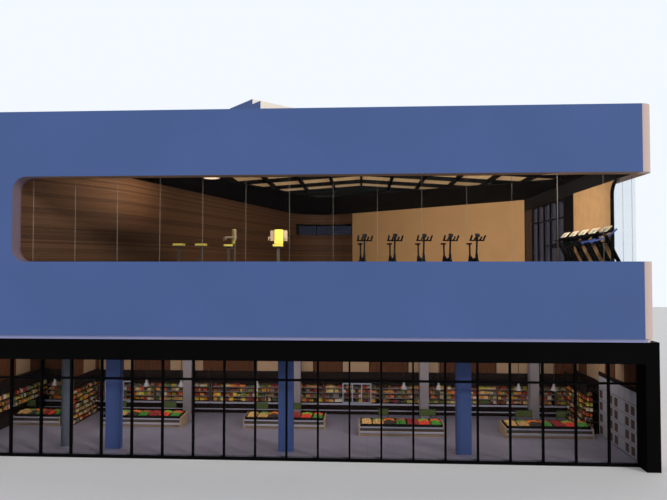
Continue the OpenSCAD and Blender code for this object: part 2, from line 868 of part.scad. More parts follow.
// Foot frame, post and plate that carry the seat pad of a machine
module machine_frame() {
    for (y = [-380, 340]) translate([-300, y, 0]) cube([600, 60, 60]);
    translate([-35, -350, 0]) cube([70, 720, 60]);
    translate([-40, -40, 50]) cube([80, 80, seat_z - 50]);
    translate([-150, -160, seat_z - 30]) cube([300, 320, 30]);
}

// Back post, crossbar and grey side pads of a machine with a backrest, with a grip below each side pad
module machine_back() {
    stay(back_foot, back_top, back_w, 0, back_w);
    stay([0, seat_z - 70], [260, seat_z - 70], 60, 0, 60);
    translate([-360, 235, seat_z + 330]) cube([720, 50, 50]);
    for (s = [-1, 1]) {
        translate([s*265 - 70, 180, seat_z + 225]) cube([140, 60, 410]);
        translate([s*345 - 20, -160, seat_z + 330]) cube([40, 420, 45]);
        translate([s*345 - 18, -160, seat_z + 230]) cube([36, 36, 120]);
    }
}

module gym_machines() {
    color("gray") for (i = [0:len(machine_at) - 1]) at_machine(i) {
        machine_frame();
        if (i >= first_backrest) machine_back();
    }
}

// Pads of the machines: a seat on every plate, and a backrest against the back post
module machine_pads() {
    away = [-back_along[1], back_along[0]]*(back_w/2 + pad_t/2);
    pad_from = seat_z + 70;
    pad_to = seat_z + 640;
    color("gold") for (i = [0:len(machine_at) - 1]) at_machine(i) {
        translate([-190, -200, seat_z]) cube([380, 350, pad_t]);
        if (i >= first_backrest)
            stay(back_foot + pad_from*back_along + away, back_foot + pad_to*back_along + away, pad_t, 0, 350);
    }
}

module white_columns() {
    y = front_y + column_back;
    color(column_blue) for (i = [-1:1])
        block([i*column_pitch - column_shift - column_w/2, y, shop_floor_z],
            [i*column_pitch - column_shift + column_w/2, y + column_d, ledge_z]);
}

module round_column() {
    color("gray") translate([bay(-7.57), front_y + round_column_back, shop_floor_z])
        cylinder(h = ledge_z - shop_floor_z, d = round_column_d);
}

module back_columns() {
    w = stone_column_w;
    color("darkgray") for (n = [-4.7, -0.25, 4.88, 9.2])
        block([bay(n) - w/2, display_y - w - 40, shop_floor_z], [bay(n) + w/2, display_y - 40, ledge_z]);
}

module display_wall() {
    color("tan") {
        block([shop_left, display_y + cabinet_d, shop_floor_z],
            [shop_right, display_y + cabinet_d + 100, ledge_z]);
        block([shop_left, display_y, shop_floor_z + cabinet_h], [shop_right, display_y + cabinet_d, ledge_z]);
    }
}

// Places each run of chilled cabinets, side by side along the display wall
module each_run() {
    for (i = [0:run_count - 1])
        translate([run_left + i*(run_l + run_gap), display_y, shop_floor_z]) children();
}

// Open-fronted carcass: base, back and canopy in one profile
module chilled_cabinets() {
    color("dimgray") each_run() rotate([90, 0, 90]) linear_extrude(run_l) difference() {
        square([cabinet_d, cabinet_h]);
        translate([-eps, cabinet_base])
            square([cabinet_d - cabinet_back + eps, cabinet_h - cabinet_base - canopy_h]);
    }
}

shelf_pitch = (cabinet_h - cabinet_base - canopy_h)/(shelf_count + 1);

module cabinet_shelves() {
    color("whitesmoke") each_run() for (k = [1:shelf_count])
        block([0, shelf_back, cabinet_base + k*shelf_pitch - shelf_t],
            [run_l, cabinet_d - cabinet_back, cabinet_base + k*shelf_pitch]);
}

// Back board with shelves that face +X, its back at x, ending short of the cabinets
module side_shelf_unit(x) {
    pitch = cabinet_h/side_shelf_count;
    translate([x, display_y - side_shelf_l - shelf_t, shop_floor_z]) {
        block([0, 0, 0], [shelf_t, side_shelf_l, cabinet_h]);
        for (k = [0:side_shelf_count - 1])
            block([0, 0, k*pitch], [side_shelf_d, side_shelf_l, k*pitch + shelf_t]);
    }
}

module side_shelving() {
    color("dimgray") {
        side_shelf_unit(bay(-8.95));
        mirror([1, 0, 0]) side_shelf_unit(shop_left);
    }
}

// Stand of length l from its left front corner: end boards, and a body with two rails over a kick base
module produce_stand(l) {
    lip = 30;
    rail = 80;
    for (x = [0, l - stand_end])
        translate([x, 0, 0]) rotate([90, 0, 90]) linear_extrude(stand_end)
            polygon([[0, 0], [stand_d, 0], [stand_d, stand_back],
                [stand_d - 2*lip, stand_back], [0, stand_front + lip]]);
    translate([stand_end, 0, 0]) rotate([90, 0, 90]) linear_extrude(l - 2*stand_end)
        polygon([[2*lip, 0], [2*lip, stand_kick], [0, stand_kick], [0, stand_kick + rail],
            [lip, stand_kick + rail], [lip, stand_front],
            [2*lip, stand_front - lip], [stand_d - 2*lip, stand_back - 2*lip],
            [stand_d - lip, stand_back - 2*lip], [stand_d - lip, 0]]);
}

module produce_stands() {
    a = shop_left + 30;
    color("burlywood") {
        translate([a, stand_row_2, shop_floor_z]) produce_stand(bay(-9) - a);
        for (n = [-5.9, -0.5])
            translate([bay(n) - stand_w/2, stand_row_2, shop_floor_z]) produce_stand(stand_w);
        for (n = [3.8, 8.95])
            translate([bay(n) - stand_w/2, stand_row_1, shop_floor_z]) produce_stand(stand_w);
    }
}

// Lamp with a narrow neck and a flared shade, open below, on a rod from the ceiling
module pendant_lamp() {
    r = lamp_r;
    rotate_extrude() polygon([[0, 340], [45, 340], [45, 190], [60, 165], [r - 5, 40], [r, 0],
        [r - 12, 0], [50, 150], [0, 150]]);
    translate([0, 0, 330]) cylinder(h = ledge_z - lamp_z - 330, r = 12);
}

module pendant_lamps() {
    color("white") for (n = [-9.5, -5.88, -4.53, -1.6, 3.97, 5.27, 8.22, 9.51])
        translate([bay(n), front_y + 4300, lamp_z]) pendant_lamp();
}

shop_floor();
ground_wall_left();
ground_wall_right();
ground_wall_rear();
portal_fascia();
portal_piers();
shopfront_frame();
shopfront_glass();
ledge_slab();
front_shell();
right_shell();
left_shell();
rear_shell();
gym_floor();
terrace_glass_front();
terrace_glass_side();
side_panel_front();
side_panel_edge();
side_panel_rear();
gallery_frame();
gallery_leaf();
gallery_glass();
timber_wall();
plaster_wall();
gym_ceiling();
roof_slab();
roof_light_curb();
roof_light_bars();
roof_light_sheets();
roof_box();
strip_window_frame();
strip_window_glass();
spin_bikes();
treadmills();
gym_machines();
machine_pads();
white_columns();
round_column();
back_columns();
display_wall();
chilled_cabinets();
cabinet_shelves();
side_shelving();
produce_stands();
pendant_lamps();
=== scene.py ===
# %% [markdown]
# A supermarket building with a gym on its upper floor, told as a lesson in cells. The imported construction
# is loaded first and never changes: every finish and every added piece below is laid over it, in metres,
# in the same frame, so that a shelf's goods stand on the shelf that carries them.

# %% Load the construction and keep its box
from math import asin, atan2, cos, pi, radians, sin, tan

import bmesh
import bpy
from mathutils import Euler, Matrix, Vector


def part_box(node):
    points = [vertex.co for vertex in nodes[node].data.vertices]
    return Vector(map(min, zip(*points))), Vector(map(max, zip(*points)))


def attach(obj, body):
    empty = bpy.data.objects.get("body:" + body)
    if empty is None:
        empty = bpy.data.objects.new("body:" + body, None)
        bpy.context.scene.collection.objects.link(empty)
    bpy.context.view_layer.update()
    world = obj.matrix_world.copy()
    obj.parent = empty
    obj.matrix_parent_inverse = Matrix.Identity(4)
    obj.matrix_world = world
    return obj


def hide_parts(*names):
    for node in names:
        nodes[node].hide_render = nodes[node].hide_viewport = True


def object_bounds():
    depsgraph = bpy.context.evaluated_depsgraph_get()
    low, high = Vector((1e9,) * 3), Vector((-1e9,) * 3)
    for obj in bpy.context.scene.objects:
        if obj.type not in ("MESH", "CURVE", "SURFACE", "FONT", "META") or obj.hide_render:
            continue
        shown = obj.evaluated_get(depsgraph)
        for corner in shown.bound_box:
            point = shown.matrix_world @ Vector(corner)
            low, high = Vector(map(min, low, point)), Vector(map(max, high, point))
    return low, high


def plain(box):
    """A box as plain lists of numbers."""
    return [[float(value) for value in corner] for corner in box]


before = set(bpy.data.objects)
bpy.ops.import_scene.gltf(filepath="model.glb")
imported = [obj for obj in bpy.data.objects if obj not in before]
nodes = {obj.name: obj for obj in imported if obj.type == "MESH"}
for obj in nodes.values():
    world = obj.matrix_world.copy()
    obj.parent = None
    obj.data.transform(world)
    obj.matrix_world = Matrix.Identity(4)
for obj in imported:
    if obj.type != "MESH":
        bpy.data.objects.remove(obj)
cad_box = plain(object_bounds())
low, high = (Vector(corner) for corner in cad_box)
print("construction", len(nodes), "nodes, box", cad_box)

# %% [markdown]
# Colours are easiest to compare with a photograph when they are written as the 0 to 255 values that a
# screen shows. The renderer wants linear light instead, so one small function turns one into the other.

# %% Colours
def shade(red, green, blue):
    """A screen colour, 0 to 255, as the linear colour that a shader takes."""
    parts = [value/255 for value in (red, green, blue)]
    linear = [part/12.92 if part <= 0.04045 else ((part + 0.055)/1.055)**2.4 for part in parts]
    return (*linear, 1.0)


def darker(colour, share):
    """The same colour with that share of its light."""
    return (*(part*share for part in colour[:3]), 1.0)


print("slate render is", [round(part, 3) for part in shade(78, 98, 148)])

# %% [markdown]
# Both the materials and the geometry trees are node graphs. Building them by hand takes four lines a node,
# so `put` adds one node, sets its settings and joins or fills its inputs in a single call. With `Number`, sums
# in a graph are written as sums: `(x - middle)*2 > edge` adds its three Math nodes.

# %% Helpers for node graphs
def put(tree, kind, inputs=None, **settings):
    """Adds a node. Each input takes a plain value, or a socket or Number of another node to be joined to."""
    made = tree.nodes.new(kind)
    for name, value in settings.items():
        setattr(made, name, value)
    for name, value in (inputs or {}).items():
        socket, value = made.inputs[name], getattr(value, "socket", value)
        if isinstance(value, bpy.types.NodeSocket):
            tree.links.new(value, socket)
        else:
            socket.default_value = value
    return made


class Number:
    """A number that a node gives. Each sign that it is reckoned with adds one Math node to its tree."""

    def __init__(self, tree, socket):
        self.tree, self.socket = tree, socket

    def __add__(self, other):
        return reckon(self.tree, "ADD", self, other)

    def __sub__(self, other):
        return reckon(self.tree, "SUBTRACT", self, other)

    def __rsub__(self, other):
        return reckon(self.tree, "SUBTRACT", other, self)

    def __mul__(self, other):
        return reckon(self.tree, "MULTIPLY", self, other)

    def __truediv__(self, other):
        return reckon(self.tree, "DIVIDE", self, other)

    def __gt__(self, other):
        return reckon(self.tree, "GREATER_THAN", self, other)

    def __lt__(self, other):
        return reckon(self.tree, "LESS_THAN", self, other)

    def __abs__(self):
        return reckon(self.tree, "ABSOLUTE", self)


def geo(tree, kind, inputs=None, **settings):
    """One step of a geometry tree, as its first output."""
    return put(tree, "GeometryNode" + kind, inputs, **settings).outputs[0]


def reckon(tree, kind, *values):
    """One step of arithmetic in a tree."""
    return Number(tree, put(tree, "ShaderNodeMath", dict(enumerate(values)), operation=kind).outputs[0])


def apart(tree, place):
    """A place as its three numbers, by the names X, Y and Z."""
    outputs = put(tree, "ShaderNodeSeparateXYZ", {"Vector": place}).outputs
    return {axis: Number(tree, outputs[axis]) for axis in "XYZ"}


def overlaid(tree, share, under, over, **settings):
    """A colour with another laid over it, by a share from 0 to 1."""
    inputs = {"Factor": share, 6: under, 7: over}
    return put(tree, "ShaderNodeMix", inputs, data_type="RGBA", **settings).outputs[2]


def ramp(tree, factor, stops, hard=False):
    """A colour ramp over the stops, a list of (place, colour), as its colour socket."""
    made = put(tree, "ShaderNodeValToRGB", {"Fac": factor})
    bar = made.color_ramp
    bar.interpolation = "CONSTANT" if hard else "LINEAR"
    while len(bar.elements) < len(stops):
        bar.elements.new(1.0)
    for element, (place, colour) in zip(bar.elements, stops):
        element.position = place
        element.color = colour
    return made.outputs["Color"]


print("node helper ready")

# %% [markdown]
# Rendered walls, painted metal, rubber and plaster differ in colour, in how far the colour drifts from
# place to place, and in how rough they are. One recipe covers them: a broad cloud of noise for the drift
# and the stains, and a fine one for the grain that catches the light as bump. It reads Object coordinates,
# which are metres here, so the same numbers mean the same size on every piece.

# %% A finish with drift and grain
def blank(name):
    """A new material: its tree, its main shader, and the output of its Object coordinates."""
    material = bpy.data.materials.new(name)
    material.use_nodes = True
    tree = material.node_tree
    shader = tree.nodes["Principled BSDF"]
    place = put(tree, "ShaderNodeTexCoord").outputs["Object"]
    return material, tree, shader, place


def cloud(tree, place, scale, detail=4.0, stretch=(1, 1, 1)):
    """Noise that repeats about `scale` times a metre, stretched along the axes."""
    mapped = put(tree, "ShaderNodeMapping", {"Vector": place, "Scale": stretch}).outputs["Vector"]
    noise = {"Vector": mapped, "Scale": scale, "Detail": detail}
    return put(tree, "ShaderNodeTexNoise", noise).outputs["Fac"]


def grain(tree, shader, height, depth):
    """Bump of `depth` metres, from a height that runs from 0 to 1."""
    bump = put(tree, "ShaderNodeBump", {"Height": height, "Distance": depth, "Strength": 1.0})
    tree.links.new(bump.outputs["Normal"], shader.inputs["Normal"])


def spread(tree, factor, least, most):
    """A 0 to 1 factor moved to the range from least to most."""
    limits = {"Value": factor, "To Min": least, "To Max": most}
    return put(tree, "ShaderNodeMapRange", limits).outputs["Result"]


def drifting(tree, factor, colour, least, most):
    """A colour that drifts with a factor between two shares of its own light."""
    return ramp(tree, factor, [(0.3, darker(colour, least)), (0.7, darker(colour, most))])


def surface(tree, shader, colour, wear, rough, gloss, height, depth):
    """Joins a surface to its shader: colour, a roughness that follows the wear, gloss and bump."""
    tree.links.new(colour, shader.inputs["Base Color"])
    tree.links.new(spread(tree, wear, *rough), shader.inputs["Roughness"])
    shader.inputs["Specular IOR Level"].default_value = gloss
    grain(tree, shader, height, depth)


def finish(name, colour, drift=0.12, drift_scale=0.6, grain_scale=60.0, depth=0.001, rough=(0.5, 0.7),
           gloss=0.4):
    """A finish of one screen colour that drifts by a share either way, with a fine grain."""
    material, tree, shader, place = blank(name)
    broad = cloud(tree, place, drift_scale, 5.0)
    surface(tree, shader, drifting(tree, broad, shade(*colour), 1 - drift, 1 + drift), broad, rough, gloss,
            cloud(tree, place, grain_scale, 2.0), depth)
    return material


print("finish recipe ready")

# %% [markdown]
# The shell is smooth painted render. In the photo it reads as slate blue, very even, with only a slight
# cloudiness, and that blue is painted shade on a pale render. The portal, mullions and bars are satin black
# metal.

# %% Plain finishes
# The slate blue is painted shade on a pale render.
render_blue = finish("render_blue", (76, 100, 154), drift=0.05, drift_scale=0.35, grain_scale=140,
                     depth=0.0006, rough=(0.6, 0.75))
satin_black = finish("satin_black", (5, 5, 6), drift=0.3, grain_scale=300, depth=0.0002, rough=(0.5, 0.65),
                     gloss=0.03)
ceiling_black = finish("ceiling_black", (9, 7, 6), drift=0.3, grain_scale=80, rough=(0.85, 0.95), gloss=0.02)
sand_render = finish("sand_render", (184, 141, 94), drift=0.09, drift_scale=3.5, grain_scale=160,
                     depth=0.0012, rough=(0.8, 0.9))
tan_plaster = finish("tan_plaster", (192, 146, 97), drift=0.05, drift_scale=1.2, grain_scale=120,
                     depth=0.0006, rough=(0.75, 0.85))
gym_rubber = finish("gym_rubber", (48, 46, 46), drift=0.15, drift_scale=2.0, grain_scale=220,
                    depth=0.001, rough=(0.8, 0.9))
machine_black = finish("machine_black", (9, 9, 10), drift=0.25, grain_scale=250, depth=0.0003,
                       rough=(0.6, 0.75), gloss=0.01)
machine_grey = finish("machine_grey", (74, 64, 56), drift=0.15, grain_scale=250, depth=0.0003,
                      rough=(0.4, 0.55))
pad_yellow = finish("pad_yellow", (240, 214, 92), drift=0.06, drift_scale=4, grain_scale=300,
                    depth=0.0006, rough=(0.45, 0.6))
# The columns are white; their blue is painted shade.
column_blue = finish("column_blue", (58, 77, 126), drift=0.06, drift_scale=1.5, grain_scale=120,
                     depth=0.0006, rough=(0.6, 0.75))
column_steel = finish("column_steel", (76, 78, 86), drift=0.1, grain_scale=180, rough=(0.3, 0.45))
column_stone = finish("column_stone", (142, 131, 132), drift=0.08, drift_scale=2.5, grain_scale=90,
                      rough=(0.65, 0.8))
cabinet_dark = finish("cabinet_dark", (28, 18, 13), drift=0.15, grain_scale=200, rough=(0.4, 0.6), gloss=0.1)
shelf_white = finish("shelf_white", (196, 192, 188), drift=0.05, grain_scale=250, rough=(0.35, 0.5))
lamp_white = finish("lamp_white", (150, 142, 140), drift=0.04, grain_scale=300, rough=(0.3, 0.45))
print(len(bpy.data.materials), "materials so far")

# %% [markdown]
# Surfaces that are laid in units get their joints from the Brick texture: large floor tiles in the shop
# and welded sheets on the roof. The brick's own colours drift from unit to unit, and its mortar becomes
# both a thin line of another colour and a shallow groove.

# %% Finishes with joints
PLAIN_GLOSS = 0.5


def jointed(name, colour, joint, unit, joint_w=0.006, drift=0.1, rough=(0.4, 0.6), depth=0.002, offset=0.0):
    """A finish laid in units of (length, width) metres, with joints of another colour."""
    material, tree, shader, place = blank(name)
    bricks = put(tree, "ShaderNodeTexBrick", {
        "Vector": place, "Scale": 1.0, "Mortar Size": joint_w, "Mortar Smooth": 0.1, "Bias": 0.0,
        "Brick Width": unit[0], "Row Height": unit[1], "Color1": darker(colour, 1 - drift),
        "Color2": darker(colour, 1 + drift), "Mortar": joint}, offset=offset)
    broad = cloud(tree, place, 0.8, 5.0)
    worn = overlaid(tree, 0.35, bricks.outputs["Color"], drifting(tree, broad, colour, 0.8, 1.15))
    flat = reckon(tree, "SUBTRACT", 1.0, bricks.outputs["Fac"])
    surface(tree, shader, worn, broad, rough, PLAIN_GLOSS, flat, depth)
    return material


print("joint recipe ready")

# %% [markdown]
# The shell is one pale render, laid here in more than one coat of painted light. Its long faces are slate
# blue, which is painted shade, and its two ends, from the start of each rounded corner, are cream, which is
# painted sunlight. The thickness that shows inside the window openings has a warmer grey, painted warm light
# from the rooms, and the inner faces are dark like the ceiling. Planes a few millimetres behind each face part
# the coats, so one piece of the construction can carry them all without a seam in its mesh. A mask is 1 where
# a coat lies and 0 elsewhere, and two masks multiplied are 1 only where both are.

# %% Coats of the shell
# The cream is painted sunlight on the shell's pale render.
SUNLIT_CREAM = shade(202, 182, 177)
# The reveals' tan is painted warm light from the rooms, and their pinkish grey at the left end is painted warm
# light mixed with painted shade.
REVEAL_WARM_LIGHT = shade(134, 106, 88)
REVEAL_MIXED_LIGHT = shade(120, 104, 118)
LEFT_REVEAL = -8.25
LINING_DARK = shade(13, 10, 9)
CORNER_START = 11.385
CORNER_REAR = -10.6
OPENING_FOOT, OPENING_HEAD = 6.3, 9.46
RIM_TOP, HEAD_EDGE = 6.612, 9.443
SIDE_OPENING_END = 8.0
LINING_TOP = 10.2
FACE_DEPTH = 0.006
RENDER_ROUGH, RENDER_GRAIN = (0.65, 0.8), 0.0006


def layered(tree, base, *layers):
    """A colour with others laid over it, each (mask, colour)."""
    for mask, colour in layers:
        base = overlaid(tree, mask, base, colour)
    return base


def coat(name, across, outer, inner, face, lining=LINING_DARK, corner=None):
    """Render in coats of painted light and shade. `across` is the axis through the wall, outer and inner are
    its two faces on it.
    """
    material, tree, shader, place = blank(name)
    split = apart(tree, place)
    depth = abs(split[across])
    along = abs(split["X"])
    broad = cloud(tree, place, 0.35, 5.0)
    outside = drifting(tree, broad, face, 0.95, 1.05)
    rounded = (split["X"] > CORNER_START)*(split["Y"] < CORNER_REAR)
    foot = reckon(tree, "MULTIPLY_ADD", rounded, RIM_TOP - OPENING_FOOT, OPENING_FOOT)
    head = reckon(tree, "MULTIPLY_ADD", rounded, HEAD_EDGE - OPENING_HEAD, OPENING_HEAD)
    at_height = (split["Z"] > foot)*(split["Z"] < head)
    right_side = (split["X"] > 0.0)*(split["Y"] < SIDE_OPENING_END)
    has_opening = reckon(tree, "MAXIMUM", along < CORNER_START, right_side)
    in_opening = (depth < outer - FACE_DEPTH)*at_height*has_opening
    inside = (depth < inner + FACE_DEPTH)*(split["Z"] < LINING_TOP)
    at_left = in_opening*(split["X"] < LEFT_REVEAL)
    # Painted warm light in the openings, and painted shade with warm light at the left reveal.
    layers = [(in_opening, REVEAL_WARM_LIGHT), (at_left, REVEAL_MIXED_LIGHT), (inside, lining)]
    if corner is not None:
        layers.insert(0, (along > CORNER_START, corner))
    surface(tree, shader, layered(tree, outside, *layers), broad, RENDER_ROUGH, 0.2,
            cloud(tree, place, 140, 2.0), RENDER_GRAIN)
    return material


# The long faces' slate blue is painted shade, and the cream of the corners and ends is painted sunlight.
long_coat = coat("long_coat", "Y", 11.0, 10.5, shade(76, 100, 154), corner=SUNLIT_CREAM)
end_coat = coat("end_coat", "X", 11.76, 11.26, SUNLIT_CREAM)
ground_end_coat = coat("ground_end_coat", "X", 11.76, 11.46, SUNLIT_CREAM, lining=shade(58, 52, 54))


def parted(name, near, far, axis, edge, rough, gloss):
    """A finish with a second colour past a plane on either side of the middle."""
    material, tree, shader, place = blank(name)
    split = apart(tree, place)
    reach = abs(split[axis])
    clouds = cloud(tree, place, 0.8, 4.0)
    two = layered(tree, drifting(tree, clouds, near, 0.95, 1.05), (reach > edge, far))
    surface(tree, shader, two, clouds, rough, gloss, cloud(tree, place, 150, 2.0), 0.0004)
    return material


LEDGE_CORNER = 11.5
STEM_FOOT = 1.93
# The ledge's lavender is painted shade on a pale trim, and its cream end is painted sunlight.
ledge_coat = parted("ledge_coat", shade(140, 146, 190), SUNLIT_CREAM, "X", LEDGE_CORNER, (0.45, 0.6), 0.3)
FRAME_TOP = 7.44
machine_coat = parted("machine_coat", shade(74, 64, 56), shade(172, 150, 126), "Z", FRAME_TOP,
                      (0.5, 0.65), 0.2)
lamp_coat = parted("lamp_coat", shade(150, 142, 140), shade(26, 20, 17), "Z", STEM_FOOT, (0.3, 0.45), 0.3)


def in_well(tree, place):
    """One where a point is inside the roof light's plan, which is the plan of its bars."""
    well_low, well_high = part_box("roof_light_bars")
    middle, half = (well_low + well_high)/2, (well_high - well_low)/2
    split = apart(tree, place)
    masks = []
    for axis, letter in enumerate("XY"):
        away = abs(split[letter] - middle[axis])
        masks.append(away < half[axis] + FACE_DEPTH)
    return masks[0]*masks[1]


def kerb_coat(name, outside, inside):
    """Folded sheet whose faces inside the roof light's plan are painted dark."""
    material, tree, shader, place = blank(name)
    clouds = cloud(tree, place, 3.0)
    folded = layered(tree, drifting(tree, clouds, outside, 0.92, 1.08), (in_well(tree, place), inside))
    surface(tree, shader, folded, clouds, RENDER_ROUGH, 0.0, cloud(tree, place, 150, 2.0), 0.0003)
    return material


def sun_and_shade_box(name, shaded, sunlit, turn, step_edge, block_edge, step_top):
    """The roof box: painted shade blue like the shell, and painted sunlight cream on the two faces that look
    to the right front.
    """
    material, tree, shader, place = blank(name)
    across = (-sin(turn), cos(turn), 0)
    way = put(tree, "ShaderNodeVectorMath", {0: place, 1: across}, operation="DOT_PRODUCT").outputs["Value"]
    way = Number(tree, way)
    height = apart(tree, place)["Z"]
    upper = (way < block_edge + FACE_DEPTH)*(height > step_top + FACE_DEPTH)
    clouds = cloud(tree, place, 0.5, 5.0)
    faces = layered(tree, drifting(tree, clouds, shaded, 0.95, 1.05), (way < step_edge + FACE_DEPTH, sunlit),
                    (upper, sunlit))
    surface(tree, shader, faces, clouds, RENDER_ROUGH, 0.2, cloud(tree, place, 140, 2.0), RENDER_GRAIN)
    return material


BOX_TURN = radians(43)
BOX_L, BOX_STEP, STEP_TOP = 1.8, 0.52, 12.18
box_low, box_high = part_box("roof_box")
box_x = box_high.x - BOX_L*cos(BOX_TURN) - BOX_STEP*sin(BOX_TURN)
box_y = box_low.y + BOX_STEP*cos(BOX_TURN)
block_edge = -sin(BOX_TURN)*box_x + cos(BOX_TURN)*box_y
# Blue is painted shade and cream is painted sunlight, both on one pale render.
roof_box_coat = sun_and_shade_box("roof_box_coat", shade(104, 128, 184), shade(252, 242, 230), BOX_TURN,
                         block_edge - BOX_STEP, block_edge, STEP_TOP)
kerb_zinc = kerb_coat("kerb_zinc", shade(150, 153, 158), LINING_DARK)
print("coats ready")

floor_tile = jointed("floor_tile", shade(136, 128, 140), shade(96, 90, 100), (0.9, 0.9), 0.008, drift=0.05,
                     rough=(0.25, 0.4), depth=0.001)
roof_membrane = jointed("roof_membrane", shade(142, 144, 148), shade(104, 106, 110), (6.0, 1.4), 0.03,
                        drift=0.04, rough=(0.75, 0.9), depth=0.004, offset=0.5)
print("floor and roof laid")

# %% [markdown]
# The wall of the gym is clad in thin horizontal battens of dark stained timber. Wood is brown in streaks
# that run with the board, so the noise is squeezed along the height and drawn out in plan. Each batten
# also carries a number, its tint, so that neighbours differ as real boards do.

# %% Timber
def own_tint(tree):
    """The number that each board, packet or fruit carries."""
    return put(tree, "ShaderNodeAttribute", attribute_name="tint").outputs["Fac"]


def timber(name, dark, light, stretch, tint_share=0.5):
    """Wood with streaks along the axes that `stretch` leaves slack, and a tint for each board."""
    material, tree, shader, place = blank(name)
    streaks = cloud(tree, place, 7.0, 6.0, stretch)
    tint = own_tint(tree)
    streaked = put(tree, "ShaderNodeMix", {"Factor": tint_share, 2: streaks, 3: tint}).outputs[0]
    colour = ramp(tree, streaked, [(0.2, shade(*dark)), (0.75, shade(*light))])
    surface(tree, shader, colour, streaks, (0.55, 0.75), 0.15, streaks, 0.0008)
    return material


batten_wood = timber("batten_wood", (68, 43, 25), (106, 72, 46), (0.3, 0.3, 12), 0.45)
board_wood = timber("board_wood", (74, 40, 20), (140, 84, 44), (5, 5, 0.4))
gallery_brown = timber("gallery_brown", (58, 40, 30), (92, 66, 48), (5, 5, 0.4), 0.0)
stand_oak = timber("stand_oak", (150, 122, 92), (196, 168, 134), (0.4, 0.4, 5), 0.0)
print("timber ready")

# %% [markdown]
# Window glass is nearly clear straight on and a mirror at a glancing angle. A thin pane needs no bending of
# light, so it is a clear shader and a gloss shader mixed by Fresnel. Daylight then passes straight through
# to the room behind, which keeps the gym and the shop readable.

# %% Glass
def pane_glass(name, tint, ior=1.45, rough=0.02, shine=0.3):
    """A thin pane that is clear head-on and shiny at a glance."""
    material, tree, shader, place = blank(name)
    tree.nodes.remove(shader)
    clear = put(tree, "ShaderNodeBsdfTransparent", {"Color": tint})
    gloss = put(tree, "ShaderNodeBsdfGlossy", {"Color": (1, 1, 1, 1), "Roughness": rough})
    smear = spread(tree, cloud(tree, place, 0.7, 3.0), 0.85*shine, shine)
    amount = reckon(tree, "MULTIPLY", put(tree, "ShaderNodeFresnel", {"IOR": ior}).outputs[0], smear)
    mixed = put(tree, "ShaderNodeMixShader", {"Fac": amount, 1: clear.outputs[0], 2: gloss.outputs[0]})
    tree.links.new(mixed.outputs[0], tree.nodes["Material Output"].inputs["Surface"])
    return material


terrace_glass = pane_glass("terrace_glass", (0.97, 0.98, 0.99, 1), 1.3, shine=0.1)
shop_glass = pane_glass("shop_glass", (0.94, 0.95, 0.97, 1), 1.3, shine=0.1)
dark_glass = pane_glass("dark_glass", (0.2, 0.2, 0.24, 1), 1.45, shine=0.35)
strip_glass = pane_glass("strip_glass", (0.12, 0.12, 0.15, 1), 1.45, shine=0.3)
print("glass ready")

# %% [markdown]
# The roof slab is seen through the roof light where its edge lines the well, and there it is painted dark
# too. Its coat is a copy of the membrane with one layer more.

# %% The roof slab's coat
deck_coat = roof_membrane.copy()
deck_coat.name = "deck_coat"
deck_tree = deck_coat.node_tree
deck_shader = deck_tree.nodes["Principled BSDF"]
deck_place = put(deck_tree, "ShaderNodeTexCoord").outputs["Object"]
sheet_colour = deck_shader.inputs["Base Color"].links[0].from_socket
deck_tree.links.new(layered(deck_tree, sheet_colour, (in_well(deck_tree, deck_place), LINING_DARK)),
                    deck_shader.inputs["Base Color"])
print("deck coat ready")

# %% [markdown]
# Each piece of the construction now gets its finish. The list reads like a decorator's schedule, and any
# node that it forgets is printed, so nothing is left in a plain colour.

# %% The schedule of finishes
SCHEDULE = {
    long_coat: ["front_shell", "rear_shell"],
    end_coat: ["right_shell", "left_shell"],
    ground_end_coat: ["ground_wall_left", "ground_wall_right"],
    render_blue: ["ground_wall_rear"],
    roof_box_coat: ["roof_box"],
    ledge_coat: ["ledge_slab"],
    satin_black: ["portal_fascia", "portal_piers", "shopfront_frame", "side_panel_edge", "gallery_frame",
                  "strip_window_frame", "roof_light_bars"],
    ceiling_black: ["gym_ceiling"],
    sand_render: ["side_panel_front", "side_panel_rear"],
    tan_plaster: ["plaster_wall"],
    gym_rubber: ["gym_floor"],
    kerb_zinc: ["roof_light_curb"],
    machine_black: ["spin_bikes", "treadmills"],
    machine_coat: ["gym_machines"],
    pad_yellow: ["machine_pads"],
    gallery_brown: ["gallery_leaf"],
    column_blue: ["white_columns"],
    column_steel: ["round_column"],
    column_stone: ["back_columns"],
    cabinet_dark: ["chilled_cabinets", "side_shelving", "display_wall"],
    shelf_white: ["cabinet_shelves"],
    lamp_coat: ["pendant_lamps"],
    floor_tile: ["shop_floor"],
    deck_coat: ["roof_slab"],
    roof_membrane: ["roof_light_sheets"],
    batten_wood: ["timber_wall"],
    stand_oak: ["produce_stands"],
    terrace_glass: ["terrace_glass_front", "terrace_glass_side"],
    shop_glass: ["shopfront_glass"],
    dark_glass: ["gallery_glass"],
    strip_glass: ["strip_window_glass"],
}


def linked(name, data):
    """A new object in the scene."""
    made = bpy.data.objects.new(name, data)
    bpy.context.scene.collection.objects.link(made)
    return made


def held(name, shape):
    """A bmesh kept as an object in the scene."""
    mesh = bpy.data.meshes.new(name)
    shape.to_mesh(mesh)
    shape.free()
    return linked(name, mesh)


def dress(piece, material):
    """Gives every slot of a piece one material."""
    piece.data.materials.clear()
    piece.data.materials.append(material)


for material, names in SCHEDULE.items():
    for name in names:
        dress(nodes[name], material)
print("forgotten:", sorted(set(nodes) - {name for names in SCHEDULE.values() for name in names}))

# %% [markdown]
# What repeats is grown by Geometry Nodes: a tree takes a few sizes, makes points, and puts one small shape
# on each of them. A few helpers keep the trees alike. The first opens a tree with named inputs, the second
# ends it by making the instances real and giving them a material, and the last runs it and keeps the plain
# mesh, because an exported model can't hold a live tree.

